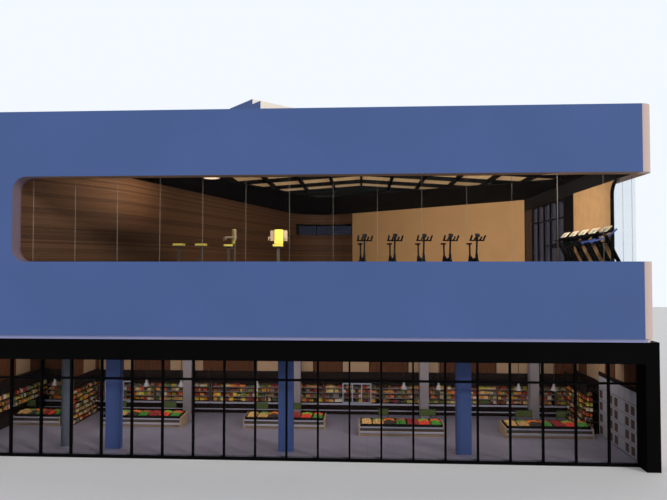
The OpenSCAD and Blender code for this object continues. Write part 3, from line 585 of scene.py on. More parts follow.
# %% Helpers for geometry trees
def open_tree(name, inputs):
    """A geometry tree with named inputs, {label: kind}, and what they give."""
    tree = bpy.data.node_groups.new(name, "GeometryNodeTree")
    tree.interface.new_socket("Geometry", in_out="INPUT", socket_type="NodeSocketGeometry")
    for label, kind in inputs.items():
        tree.interface.new_socket(label, in_out="INPUT", socket_type="NodeSocket" + kind)
    tree.interface.new_socket("Geometry", in_out="OUTPUT", socket_type="NodeSocketGeometry")
    given = tree.nodes.new("NodeGroupInput").outputs
    return tree, {label: Number(tree, given[label]) for label in inputs}


def close_tree(tree, geometry, material):
    """Ends a tree: its instances are made real and take the material."""
    real = geo(tree, "RealizeInstances", {"Geometry": geometry})
    painted = geo(tree, "SetMaterial", {"Geometry": real, "Material": material})
    put(tree, "NodeGroupOutput", {"Geometry": painted})


def settle(piece, slot, *replaced):
    """A finished piece rides on the building, and the nodes it stands for are hidden; its slot is not used."""
    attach(piece, "root")
    if replaced:
        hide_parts(*replaced)
    print(piece.name, len(piece.data.polygons), "faces")
    return piece


def grow(name, tree, values, slot, *replaced):
    """Runs a tree on an empty carrier and keeps the result as a plain piece."""
    carrier = linked(name, bpy.data.meshes.new(name + "_seed"))
    modifier = carrier.modifiers.new("tree", "NODES")
    modifier.node_group = tree
    for item in tree.interface.items_tree:
        if item.item_type == "SOCKET" and item.in_out == "INPUT" and item.name in values:
            modifier[item.identifier] = values[item.name]
    ready = carrier.evaluated_get(bpy.context.evaluated_depsgraph_get())
    grown = bpy.data.meshes.new_from_object(ready)
    carrier.modifiers.clear()
    carrier.data = grown
    return settle(carrier, slot, *replaced)


def vector(tree, x=0.0, y=0.0, z=0.0):
    """A vector from three plain numbers, or such as nodes give."""
    return put(tree, "ShaderNodeCombineXYZ", {"X": x, "Y": y, "Z": z}).outputs[0]


def position(tree):
    """The place of each point, as its three numbers."""
    return apart(tree, geo(tree, "InputPosition"))


def chance(tree, least, most, seed, group=None):
    """A random number for each point, or for each group of points that share a number."""
    inputs = {2: least, 3: most, "Seed": seed}
    if group is not None:
        inputs["ID"] = group
    return Number(tree, put(tree, "FunctionNodeRandomValue", inputs, data_type="FLOAT").outputs[1])


def joined(tree, *parts):
    """Several geometries as one."""
    both = tree.nodes.new("GeometryNodeJoinGeometry")
    for part in parts:
        tree.links.new(part, both.inputs[0])
    return both.outputs[0]


def tinted(tree, instances, value):
    """Keeps a number on every instance, which its material reads as its tint."""
    return geo(tree, "StoreNamedAttribute", {"Geometry": instances, "Name": "tint", "Value": value},
               data_type="FLOAT", domain="INSTANCE")


def islands(name):
    """The boxes of a node's separate solids, from left to right."""
    merged = bmesh.new()
    merged.from_mesh(nodes[name].data)
    bmesh.ops.remove_doubles(merged, verts=merged.verts, dist=1e-5)
    waiting = set(merged.verts)
    boxes = []
    while waiting:
        edge = [waiting.pop()]
        found = []
        while edge:
            point = edge.pop()
            found.append(point.co.copy())
            near = {link.other_vert(point) for link in point.link_edges} & waiting
            waiting -= near
            edge += near
        boxes.append((Vector([min(place[i] for place in found) for i in range(3)]),
                      Vector([max(place[i] for place in found) for i in range(3)])))
    merged.free()
    return sorted(boxes, key=lambda box: tuple(box[0]))


def boards(name, boxes, material, slot, edge=0.004, turn=None):
    """One piece made of many boards, each a box between two corners with eased edges."""
    made = bmesh.new()
    for near, far in boxes:
        near, far = Vector(near), Vector(far)
        corners = bmesh.ops.create_cube(made, size=1.0)["verts"]
        for corner in corners:
            corner.co = (near + far)/2 + corner.co*(far - near)
    bmesh.ops.bevel(made, geom=made.edges, offset=edge, segments=1, affect="EDGES")
    if turn is not None:
        bmesh.ops.transform(made, matrix=turn, verts=made.verts)
    piece = held(name, made)
    dress(piece, material)
    return settle(piece, slot)


print("stands are", [plain(box) for box in islands("produce_stands")][:1], "and on")

# %% [markdown]
# The timber wall starts at the left end of the long window, runs back, bends, and wraps round the far end of
# the gym before it meets the plaster. Its battens have to follow exactly that line. The same few sizes that
# shape the wall give its plan here: two straight stretches, and an arc about the end's centre.

# %% The timber wall's line in plan
def place_on(centre, radius, turn, side=1):
    """A point of an arc whose wall runs in the direction `turn`, measured from straight back."""
    return Vector((centre.x - side*radius*cos(turn), centre.y + side*radius*sin(turn)))


def ahead(turn):
    """The direction of a wall, measured from straight back towards the right."""
    return Vector((sin(turn), cos(turn)))


FIRST_TURN = radians(35.5)
FIRST_RUN = 3.87
BEND_R = 3.0
END_R = 2.37
END_GAP = 0.63
PLASTER_TURN = radians(90 + 38.4)
BEND_STEPS, END_STEPS = 6, 18
gym_low, gym_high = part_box("gym_floor")
wall_low, wall_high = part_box("timber_wall")
slot_low, slot_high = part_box("strip_window_glass")
plaster_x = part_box("plaster_wall")[0][0]
wall_start = Vector((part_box("terrace_glass_front")[0][0], gym_low[1]))
bend = wall_start + FIRST_RUN*ahead(FIRST_TURN)
end_centre = Vector(((slot_low[0] + slot_high[0])/2, gym_high[1] - END_GAP - END_R))
reach = end_centre - bend
SECOND_TURN = atan2(reach.x, reach.y) - asin(END_R/reach.length)
bend_cut = BEND_R*tan((FIRST_TURN - SECOND_TURN)/2)
right_hand = Vector((cos(FIRST_TURN), -sin(FIRST_TURN)))
bend_centre = bend - bend_cut*ahead(FIRST_TURN) - BEND_R*right_hand
wall_line = [wall_start]
wall_line += [place_on(bend_centre, BEND_R, FIRST_TURN + (SECOND_TURN - FIRST_TURN)*i/BEND_STEPS, -1)
              for i in range(BEND_STEPS + 1)]
wall_line += [place_on(end_centre, END_R, SECOND_TURN + (PLASTER_TURN - SECOND_TURN)*i/END_STEPS)
              for i in range(END_STEPS + 1)]
tail = (plaster_x - wall_line[-1].x)/sin(PLASTER_TURN)
wall_line.append(wall_line[-1] + tail*ahead(PLASTER_TURN))
print("wall line:", len(wall_line), "points, from", wall_line[0], "to", wall_line[-1])

# %% [markdown]
# A batten is a small rectangle swept along that line. One short strip window cuts through the wall high up,
# so the battens at its height stop at its two sides. Both lines are drawn as curves, a ladder of points gives
# the heights, and the tree sweeps, stacks and numbers the battens.

# %% Battens on the timber wall
def stretch_of(points, left, right):
    """The line's stretch between two places along X, which rises all along it."""
    def at(x):
        for a, b in zip(points, points[1:]):
            if a.x <= x <= b.x:
                return a.lerp(b, (x - a.x)/(b.x - a.x))
    return [at(left)] + [point for point in points if left < point.x < right] + [at(right)]


def drawn_line(name, lines):
    """A helper curve with one open spline for each list of plan points."""
    curve = bpy.data.curves.new(name, "CURVE")
    curve.dimensions = "3D"
    for points in lines:
        spline = curve.splines.new("POLY")
        spline.points.add(len(points) - 1)
        for target, point in zip(spline.points, points):
            target.co = (point.x, point.y, 0, 1)
    return linked(name, curve)


def batten_tree():
    """Battens swept along a line and stacked; those at the slot's height follow another line."""
    tree, given = open_tree("battens", {
        "Whole line": "Object", "Cut line": "Object", "Material": "Material", "Low": "Float",
        "Pitch": "Float", "Count": "Int", "Face": "Float", "Depth": "Float", "Slot low": "Float",
        "Slot high": "Float"})
    section = geo(tree, "CurvePrimitiveQuadrilateral", {"Width": given["Depth"], "Height": given["Face"]})
    half = given["Depth"]*0.5
    section = geo(tree, "Transform", {"Geometry": section, "Translation": vector(tree, half)})
    ladder = geo(tree, "MeshLine", {"Count": given["Count"], "Start Location": vector(tree, z=given["Low"]),
                 "Offset": vector(tree, z=given["Pitch"])})
    height = position(tree)["Z"]
    at_slot = (height > given["Slot low"])*(height < given["Slot high"])
    stacks = []
    for line, chosen in ((given["Whole line"], 1.0 - at_slot), (given["Cut line"], at_slot)):
        curve = put(tree, "GeometryNodeObjectInfo", {"Object": line}).outputs["Geometry"]
        upright = geo(tree, "SetCurveNormal", {"Curve": curve}, mode="Z_UP")
        swept = geo(tree, "CurveToMesh", {"Curve": upright, "Profile Curve": section, "Fill Caps": True})
        flat = geo(tree, "SetShadeSmooth", {"Geometry": swept, "Shade Smooth": False})
        stacks.append(geo(tree, "InstanceOnPoints",
                          {"Points": ladder, "Selection": chosen, "Instance": flat}))
    close_tree(tree, tinted(tree, joined(tree, *stacks), chance(tree, 0.0, 1.0, 3)), given["Material"])
    return tree


BATTEN_PITCH = 0.075
SLOT_TRIM = 0.03
whole_line = drawn_line("batten_line", [wall_line])
split_line = drawn_line("batten_line_cut", [stretch_of(wall_line, wall_line[0].x, slot_low[0] - SLOT_TRIM),
                                            stretch_of(wall_line, slot_high[0] + SLOT_TRIM, wall_line[-1].x)])
grow("timber_battens", batten_tree(), {
    "Whole line": whole_line, "Cut line": split_line, "Material": batten_wood,
    "Low": wall_low[2] + BATTEN_PITCH/2, "Pitch": BATTEN_PITCH, "Face": 0.055, "Depth": 0.014,
    "Count": int((wall_high[2] - wall_low[2])/BATTEN_PITCH),
    "Slot low": slot_low[2] - BATTEN_PITCH/2, "Slot high": slot_high[2] + BATTEN_PITCH/2}, "timber_slats")
for helper in (whole_line, split_line):
    bpy.data.objects.remove(helper)

# %% [markdown]
# The roof light is covered with ribbed sheets that let warm light through. The construction holds them as a
# plain slab, so a corrugated sheet takes its place: a fine grid is bent to the gable, waved across, and given
# a thickness, all from the slab's own box.

# %% Ribbed sheets of the roof light
POINTS_PER_RIB = 4.0


def ribbed_tree():
    """A gabled sheet with ribs that run from front to back, closed all round."""
    tree, given = open_tree("ribbed_sheet", {
        "Material": "Material", "Middle": "Vector", "Length": "Float", "Depth": "Float", "Ridge x": "Float",
        "Ridge z": "Float", "Slope": "Float", "Rib pitch": "Float", "Rib height": "Float",
        "Thickness": "Float"})
    ribs = given["Length"]/given["Rib pitch"]
    across = reckon(tree, "CEIL", ribs*POINTS_PER_RIB)
    flat = geo(tree, "MeshGrid", {"Size X": given["Length"], "Size Y": given["Depth"],
               "Vertices X": across, "Vertices Y": 3})
    moved = geo(tree, "Transform", {"Geometry": flat, "Translation": given["Middle"]})
    x = position(tree)["X"]
    away = abs(x - given["Ridge x"])
    gable = given["Ridge z"] - away*given["Slope"]
    turn = x/given["Rib pitch"]*(2*pi)
    wave = reckon(tree, "SINE", turn)*(given["Rib height"]*0.5)
    lift = vector(tree, z=gable + wave)
    bent = geo(tree, "SetPosition", {"Geometry": moved, "Offset": lift})
    raised = geo(tree, "ExtrudeMesh", {"Mesh": bent, "Offset": (0, 0, 1), "Offset Scale": given["Thickness"],
                 "Individual": False})
    under = geo(tree, "FlipFaces", {"Mesh": bent})
    closed = geo(tree, "MergeByDistance", {"Geometry": joined(tree, raised, under), "Distance": 0.0002})
    close_tree(tree, closed, given["Material"])
    return tree


sheet_low, sheet_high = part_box("roof_light_sheets")
bars_low, bars_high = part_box("roof_light_bars")
ROOF_SLOPE = 0.068
SHEET_SPAN = 0.03
RIB_H = 0.02
LEFT_BAYS, RAFTER_PITCH, BAR_W = 4, 1.46, 0.11
ridge_x = sheet_low.x + BAR_W/2 + LEFT_BAYS*RAFTER_PITCH
ridge_z = sheet_high.z - SHEET_SPAN/2


def sheet_with_painted_glow(name):
    """Translucent tan sheet, a little streaked along its ribs, with a painted glow that stands for the
    daylight through it.
    """
    material, tree, shader, place = blank(name)
    streaks = cloud(tree, place, 1.6, 4.0, (6, 0.3, 1))
    tree.links.new(ramp(tree, streaks, [(0.3, shade(176, 146, 106)), (0.7, shade(206, 176, 134))]),
                   shader.inputs["Base Color"])
    shader.inputs["Roughness"].default_value = 0.5
    # The emission is a painted glow for the daylight through the sheets.
    shader.inputs["Emission Color"].default_value = shade(226, 180, 128)
    shader.inputs["Emission Strength"].default_value = 0.25
    grain(tree, shader, cloud(tree, place, 60, 2.0), 0.0004)
    return material


light_sheet = sheet_with_painted_glow("light_sheet")
grow("roof_light_ribbed_sheets", ribbed_tree(), {
    "Material": light_sheet, "Middle": ((sheet_low.x + sheet_high.x)/2, (sheet_low.y + sheet_high.y)/2, 0.0),
    "Length": sheet_high.x - sheet_low.x, "Depth": sheet_high.y - sheet_low.y, "Ridge x": ridge_x,
    "Ridge z": ridge_z - 0.002, "Slope": ROOF_SLOPE, "Rib pitch": 0.15, "Rib height": RIB_H,
    "Thickness": 0.004},
     "light_sheet", "roof_light_sheets")

# %% [markdown]
# The long window has no frame: its panes stand edge to edge, and a clear silicone bead closes each joint. In
# the photo the beads catch the light as thin pale lines. One bead is a slim box, set at each joint by a line
# of points, whose first place and pitch are the glazier's own.

# %% Beads between the panes
def row_tree():
    """One upright box at each point of a row."""
    tree, given = open_tree("upright_row", {"Material": "Material", "Start": "Vector", "Step": "Vector",
                                            "Count": "Int", "Size": "Vector"})
    line = geo(tree, "MeshLine", {"Count": given["Count"], "Start Location": given["Start"],
               "Offset": given["Step"]})
    bead = geo(tree, "MeshCube", {"Size": given["Size"]})
    set_on = geo(tree, "InstanceOnPoints", {"Points": line, "Instance": bead})
    close_tree(tree, tinted(tree, set_on, chance(tree, 0.0, 1.0, 5)), given["Material"])
    return tree


glass_low, glass_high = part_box("terrace_glass_front")
side_low, side_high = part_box("terrace_glass_side")
PANE_PITCH = 1.46
CORNER_PANE = 1.0
PANE_COUNT = 13
last_joint = side_low.x - CORNER_PANE
bead_z = (glass_low.z + glass_high.z)/2
silicone = finish("silicone", (196, 182, 166), drift=0.05, drift_scale=2.0, grain_scale=200, depth=0.0002,
                  rough=(0.25, 0.4))
SILICONE_COVER = 0.3
silicone.node_tree.nodes["Principled BSDF"].inputs["Alpha"].default_value = SILICONE_COVER
upright_row = row_tree()
grow("front_glass_beads", upright_row, {
    "Material": silicone,
    "Start": (last_joint - PANE_COUNT*PANE_PITCH, (glass_low.y + glass_high.y)/2, bead_z),
    "Step": (PANE_PITCH, 0, 0), "Count": PANE_COUNT + 1,
    "Size": (0.0078, 0.026, glass_high.z - glass_low.z - 0.01)},
     "clear_glass")
SIDE_JOINTS = (0.236, 0.876)
grow("side_glass_beads", upright_row, {
    "Material": silicone,
    "Start": ((side_low.x + side_high.x)/2, glass_low.y + SIDE_JOINTS[0], bead_z - 0.01),
    "Step": (0, SIDE_JOINTS[1] - SIDE_JOINTS[0], 0), "Count": 2,
    "Size": (0.026, 0.0078, side_high.z - side_low.z - 0.03)}, "clear_glass")

# %% [markdown]
# The gym's black ceiling holds one flush downlight near the front, left of the roof light. It is a thin
# white ring with a glowing disc, spun from a few points.

# %% The gym's downlight
def spun(name, profile, centre, sides=48):
    """A turned piece: a profile of (radius, height) points spun round the upright through a centre."""
    made = bmesh.new()
    points = [made.verts.new((radius, 0, height)) for radius, height in profile]
    for a, b in zip(points, points[1:] + points[:1]):
        made.edges.new((a, b))
    bmesh.ops.spin(made, geom=made.verts[:] + made.edges[:], cent=(0, 0, 0), axis=(0, 0, 1), angle=2*pi,
                   steps=sides, use_duplicate=False)
    bmesh.ops.remove_doubles(made, verts=made.verts, dist=1e-5)
    bmesh.ops.translate(made, vec=centre, verts=made.verts)
    bmesh.ops.recalc_face_normals(made, faces=made.faces)
    return held(name, made)


def glowing(name, colour, strength):
    """A finish that shines by itself, a little brighter in its middle parts."""
    material, tree, shader, place = blank(name)
    tree.links.new(ramp(tree, cloud(tree, place, 8.0), [(0.3, darker(colour, 0.92)), (0.7, colour)]),
                   shader.inputs["Base Color"])
    shader.inputs["Emission Color"].default_value = colour
    shader.inputs["Emission Strength"].default_value = strength
    return material


DOWNLIGHT_AT = (-3.49, -7.0)
ceiling_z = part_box("gym_ceiling")[0].z
lamp_glow = glowing("lamp_glow", shade(255, 226, 190), 0.8)
RING = [(0.29, 0), (0.34, 0), (0.34, -0.02), (0.33, -0.03), (0.29, -0.03)]
DISC = [(0.0001, 0), (0.288, 0), (0.288, -0.02), (0.0001, -0.024)]
for name, profile, material in (("downlight_ring", RING, lamp_white), ("downlight_disc", DISC, lamp_glow)):
    piece = spun(name, profile, (*DOWNLIGHT_AT, ceiling_z))
    dress(piece, material)
    settle(piece, "lamp_white")

# %% [markdown]
# The chilled cabinets are an open front of decks and shelves. What makes them read from the street is their
# trim: a pale sill rail at the lowest deck, a thin bumper above the kick, price rails along the shelves'
# edges, brown uprights between the bays, and a glazed door bay with white frames. Each is a run of boards,
# so one loop over the cabinet runs lays them all out.

# %% Trim of the chilled cabinets
runs = islands("chilled_cabinets")
shop_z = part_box("shop_floor")[1].z
CABINET_BASE, CABINET_H, CANOPY_H, SHELF_COUNT = 0.48, 1.98, 0.48, 4
deck_z = shop_z + CABINET_BASE
canopy_z = shop_z + CABINET_H - CANOPY_H
level_h = (canopy_z - deck_z)/(SHELF_COUNT + 1)
levels = [deck_z + level*level_h for level in range(SHELF_COUNT + 1)]
cabinet_y = runs[0][0].y
BAYS_PER_RUN = 3
bay_w = (runs[0][1].x - runs[0][0].x)/BAYS_PER_RUN
shelf_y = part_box("cabinet_shelves")[0].y
DOOR_BAYS = ((-8.66, -7.46), (1.71, 2.90))
rail_white = finish("rail_white", (168, 164, 176), drift=0.05, drift_scale=3.0, grain_scale=250, depth=0.0002,
                    rough=(0.3, 0.45))
upright_brown = finish("upright_brown", (74, 54, 42), drift=0.12, drift_scale=4.0, grain_scale=200,
                       depth=0.0004, rough=(0.5, 0.65))
corner_run = (Vector((10.685, cabinet_y, shop_z)), Vector((11.395, runs[0][1].y, runs[0][1].z)))
CLEAR = 0.002
SILL_OUT, SILL_LOW, SILL_TOP = 0.05, 0.075, 0.005
BUMPER_OUT, BUMPER_LOW, BUMPER_TOP = 0.04, 0.15, 0.19
UPRIGHT_W = 0.06
front_rails = []
price_rails = []
for near, far in runs + [corner_run]:
    front_rails.append(((near.x, cabinet_y - SILL_OUT, deck_z - SILL_LOW),
                        (far.x, cabinet_y - CLEAR, deck_z - SILL_TOP)))
    front_rails.append(((near.x, cabinet_y - BUMPER_OUT, shop_z + BUMPER_LOW),
                        (far.x, cabinet_y - CLEAR, shop_z + BUMPER_TOP)))
    price_rails += [((near.x + 0.04, shelf_y - 0.02, level - 0.028),
                     (far.x - 0.04, shelf_y - 0.002, level + 0.012)) for level in levels[1:]]
uprights = [((x - UPRIGHT_W/2, cabinet_y + 0.005, deck_z + 0.001),
             (x + UPRIGHT_W/2, shelf_y - 0.025, canopy_z - 0.001))
            for near, far in runs for x in (near.x + 0.032, near.x + bay_w, near.x + 2*bay_w, far.x - 0.032)]
near, far = corner_run
corner_boards = [((near.x, shelf_y, level - 0.03), (far.x, shelf_y + 0.4, level)) for level in levels]
corner_boards.append(((near.x, cabinet_y, shop_z + 0.01), (far.x, cabinet_y + 0.02, deck_z - 0.005)))
corner_boards.append(((near.x, cabinet_y, canopy_z), (far.x, cabinet_y + 0.02, shop_z + CABINET_H)))
VALANCE_LOW = levels[-1] - 0.02
boards("cabinet_valance",
       [((near.x, cabinet_y - 0.022, VALANCE_LOW), (far.x, cabinet_y - 0.002, canopy_z + 0.04))
        for near, far in runs + [corner_run]], cabinet_dark, "cabinet_grey")
boards("corner_shelf_boards", corner_boards, cabinet_dark, "cabinet_grey", edge=0.001)
boards("cabinet_front_rails", front_rails, rail_white, "shelf_white")
rail_grey = finish("rail_grey", (118, 104, 98), drift=0.1, drift_scale=4.0, grain_scale=250, depth=0.0002,
                   rough=(0.4, 0.55))
boards("price_rails", price_rails, rail_grey, "shelf_white", edge=0.003)
boards("cabinet_uprights", uprights, upright_brown, "cabinet_grey")

# %% [markdown]
# Two bays are closed by glass doors in white frames. Each bay has three doors, so four uprights stand between
# two cross rails, and the panes fill what is left.

# %% Glazed door bays
DOORS = 3
door_frames = []
door_panes = []
for left, right in DOOR_BAYS:
    door_w = (right - left)/DOORS
    y0, y1 = cabinet_y - 0.065, cabinet_y - 0.024
    z0, z1 = deck_z + 0.005, VALANCE_LOW + 0.06
    door_frames += [((left, y0, z1 - 0.05), (right, y1, z1)), ((left, y0, z0), (right, y1, z0 + 0.05))]
    door_frames += [((left + i*door_w - 0.022, y0 - 0.004, z0), (left + i*door_w + 0.022, y1 - 0.001, z1))
                    for i in range(DOORS + 1)]
    door_panes += [((left + i*door_w + 0.024, y0 + 0.015, z0 + 0.052),
                    (left + (i + 1)*door_w - 0.024, y0 + 0.023, z1 - 0.052)) for i in range(DOORS)]
boards("cabinet_door_frames", door_frames, rail_white, "shelf_white")
boards("cabinet_door_panes", door_panes, shop_glass, "clear_glass", edge=0.001)

# %% [markdown]
# Goods fill every shelf in facings: a hand's width or two of one packet, then the next. A grid of points is
# laid along each shelf, and each point gets a box, a jar or a bag by chance. The chance is drawn per facing
# and not per packet, so that neighbours match as they do in a shop, and it also picks their colour.

# %% Goods on the shelves
def picked(tree, tint, colours):
    """One of several screen colours, in equal shares of the tint."""
    return ramp(tree, tint, [(i/len(colours), shade(*colour)) for i, colour in enumerate(colours)], hard=True)


def goods_finish(name):
    """Packets in a shop's colours, picked by the tint that each facing carries."""
    material, tree, shader, place = blank(name)
    tint = own_tint(tree)
    colours = [(206, 168, 104), (150, 44, 26), (214, 190, 132), (222, 108, 24), (104, 118, 30),
               (228, 188, 44), (112, 66, 38), (220, 206, 180), (178, 58, 28), (66, 90, 36), (196, 138, 74),
               (44, 34, 40), (232, 148, 48), (120, 112, 100), (128, 28, 26), (180, 172, 44)]
    facing = picked(tree, tint, colours)
    print_marks = cloud(tree, place, 28.0, 2.0)
    marked = overlaid(tree, spread(tree, print_marks, -0.6, 0.5), facing, shade(232, 224, 206))
    surface(tree, shader, marked, print_marks, (0.3, 0.6), PLAIN_GLOSS, cloud(tree, place, 90, 2.0), 0.001)
    return material


LEVELS_A_METRE, FAR_APART = 10.0, 971.0


def goods_tree():
    """Boxes, jars and bags on a grid of shelf places; the grid runs along X and up, or along Y and up."""
    tree, given = open_tree("goods", {
        "Material": "Material", "Start": "Vector", "Along": "Vector", "Level": "Vector", "Back": "Vector",
        "Count": "Int", "Levels": "Int", "Width": "Float", "Depth": "Float", "Height": "Float",
        "Facing": "Float", "Seed": "Int"})
    shelf = geo(tree, "MeshLine", {"Count": given["Count"], "Start Location": given["Start"],
                "Offset": given["Along"]})
    second = geo(tree, "Transform", {"Geometry": shelf, "Translation": given["Back"]})
    two_deep = joined(tree, shelf, second)
    stack = geo(tree, "MeshLine", {"Count": given["Levels"], "Offset": given["Level"]})
    copies = geo(tree, "InstanceOnPoints", {"Points": stack, "Instance": two_deep})
    points = geo(tree, "RealizeInstances", {"Geometry": copies})
    where = position(tree)
    run = where["X"] + where["Y"]
    level = reckon(tree, "FLOOR", where["Z"]*LEVELS_A_METRE)
    facing = reckon(tree, "FLOOR", run/given["Facing"])
    group = facing + level*FAR_APART
    kind = chance(tree, 0.0, 1.0, given["Seed"], group)
    tint = chance(tree, 0.0, 0.999, 11, group)
    tall = chance(tree, 0.62, 1.0, 12, group)*chance(tree, 0.93, 1.0, 13)
    packet = geo(tree, "MeshCube", {"Size": (1, 1, 1)})
    jar = geo(tree, "MeshCylinder", {"Vertices": 8, "Radius": 0.5, "Depth": 1.0})
    bag = geo(tree, "MeshIcoSphere", {"Radius": 0.5, "Subdivisions": 1})
    sets = []
    kinds = ((packet, -0.1, 0.5, 0.94, 1.0), (jar, 0.5, 0.78, 0.8, 0.9), (bag, 0.78, 1.1, 1.04, 0.8))
    for shape, least, most, slim, low in kinds:
        chosen = (kind > least)*(kind < most)
        high = given["Height"]*tall*low
        size = vector(tree, given["Width"]*slim, given["Depth"]*slim, high)
        stood = geo(tree, "Transform", {"Geometry": shape, "Translation": (0, 0, 0.5)})
        sets.append(geo(tree, "InstanceOnPoints", {"Points": points, "Selection": chosen, "Instance": stood,
                        "Scale": size}))
    close_tree(tree, tinted(tree, joined(tree, *sets), tint), given["Material"])
    return tree


goods_mixed = goods_finish("goods_mixed")
goods = goods_tree()
HEADROOM, SHELF_GAP = 0.05, 0.002


def stocked(name, start, along, back, length, pitch, levels, packet, facing, seed):
    """Goods on shelves: `along` is the way from packet to packet, `back` the way to the second row."""
    return grow(name, goods, {
        "Material": goods_mixed, "Start": start, "Along": along, "Back": back, "Level": (0, 0, pitch),
        "Count": int(length/max(along)), "Levels": levels, "Width": packet[0], "Depth": packet[1],
        "Height": pitch - HEADROOM, "Facing": facing, "Seed": seed}, "goods_mixed")


PACKET_W, PACKET_D = 0.078, 0.12
CABINET_FACING = 0.14
END_UPRIGHT = 0.09


def cabinet_goods(name, start_x, length, seed):
    """Goods on every level of a stretch of cabinets."""
    stocked(name, (start_x, shelf_y + 0.09, deck_z + SHELF_GAP), (PACKET_W, 0, 0), (0, PACKET_D*1.05, 0),
            length, level_h, SHELF_COUNT + 1, (PACKET_W, PACKET_D), CABINET_FACING, seed)


for number, (near, far) in enumerate(runs):
    middle = (near.x + far.x)/2
    for half, (left, right) in zip("ab", ((near.x + END_UPRIGHT, middle), (middle, far.x - END_UPRIGHT))):
        cabinet_goods("cabinet_goods_%d%s" % (number + 1, half), left + PACKET_W/2, right - left, 20 + number)
near, far = corner_run
cabinet_goods("corner_goods", near.x + 0.06, far.x - near.x - 0.08, 29)

# %% [markdown]
# The shelving at the shop's two sides turns its goods to the room. It has more levels than the construction
# holds, so a thin board is added halfway between each two of its own, and the goods stand on both kinds.

# %% Goods on the side shelving
SIDE_SHELVES = 5
BOARD_T = 0.03
THIN_BOARD = 0.012
SIDE_STEP = 0.075
SIDE_PACKET, SIDE_FACING, SIDE_ROW = (0.1, 0.07), 0.1, 0.11
SIDE_H = 1.98
half_pitch = SIDE_H/SIDE_SHELVES/2
thin_boards = []
for number, (near, far) in enumerate(islands("side_shelving")):
    front, into = (far.x, -1) if number == 0 else (near.x, 1)
    deck = near.z + BOARD_T
    for level in range(SIDE_SHELVES - 1):
        x0, x1 = sorted((front + into*0.01, front + into*0.26))
        top = deck + half_pitch*(2*level + 1)
        thin_boards.append(((x0, near.y + 0.01, top - THIN_BOARD), (x1, far.y - 0.01, top)))
    stocked("side_goods_%d" % (number + 1), (front + into*0.07, near.y + 0.06, deck + SHELF_GAP),
            (0, SIDE_STEP, 0), (into*SIDE_ROW, 0, 0), far.y - near.y - 0.08, half_pitch, 2*(SIDE_SHELVES - 1),
            SIDE_PACKET, SIDE_FACING, 31 + number)
boards("side_shelf_boards", thin_boards, cabinet_dark, "cabinet_grey", edge=0.001)

# %% [markdown]
# The produce stands carry crates of fruit and vegetables in a fixed order, heaped towards the middle. Under
# the fruit lies a low closed mound, and every point on the mound's top carries one rounded fruit, so that no
# gap shows the deck. The crate that a point falls in sets its colour, and each fruit takes its size and how
# much it stretches by chance, which is how one tree grows potatoes, oranges and bunches of green alike.

# %% Produce
CRATES_FRONT = [(214, 170, 104), (204, 160, 98), (62, 46, 34), (66, 132, 44), (146, 34, 32), (214, 62, 38),
                (78, 146, 52)]
CRATES_BACK = [(218, 178, 110), (118, 152, 72), (246, 128, 40), (178, 84, 50), (154, 40, 38), (140, 180, 46),
               (240, 98, 38)]
CRATES = len(CRATES_FRONT)


def produce_finish(name):
    """Fruit skins, picked by the tint of their crate, each a little off its neighbours."""
    material, tree, shader, place = blank(name)
    tint = own_tint(tree)
    skin = picked(tree, tint, CRATES_FRONT + CRATES_BACK)
    patches = cloud(tree, place, 14.0, 3.0)
    patched = ramp(tree, patches, [(0.3, (0.75, 0.75, 0.7, 1)), (0.7, (1.3, 1.25, 1.15, 1))])
    toned = overlaid(tree, 1.0, skin, patched, blend_type="MULTIPLY")
    surface(tree, shader, toned, patches, (0.35, 0.6), PLAIN_GLOSS, cloud(tree, place, 160, 2.0), 0.0008)
    return material


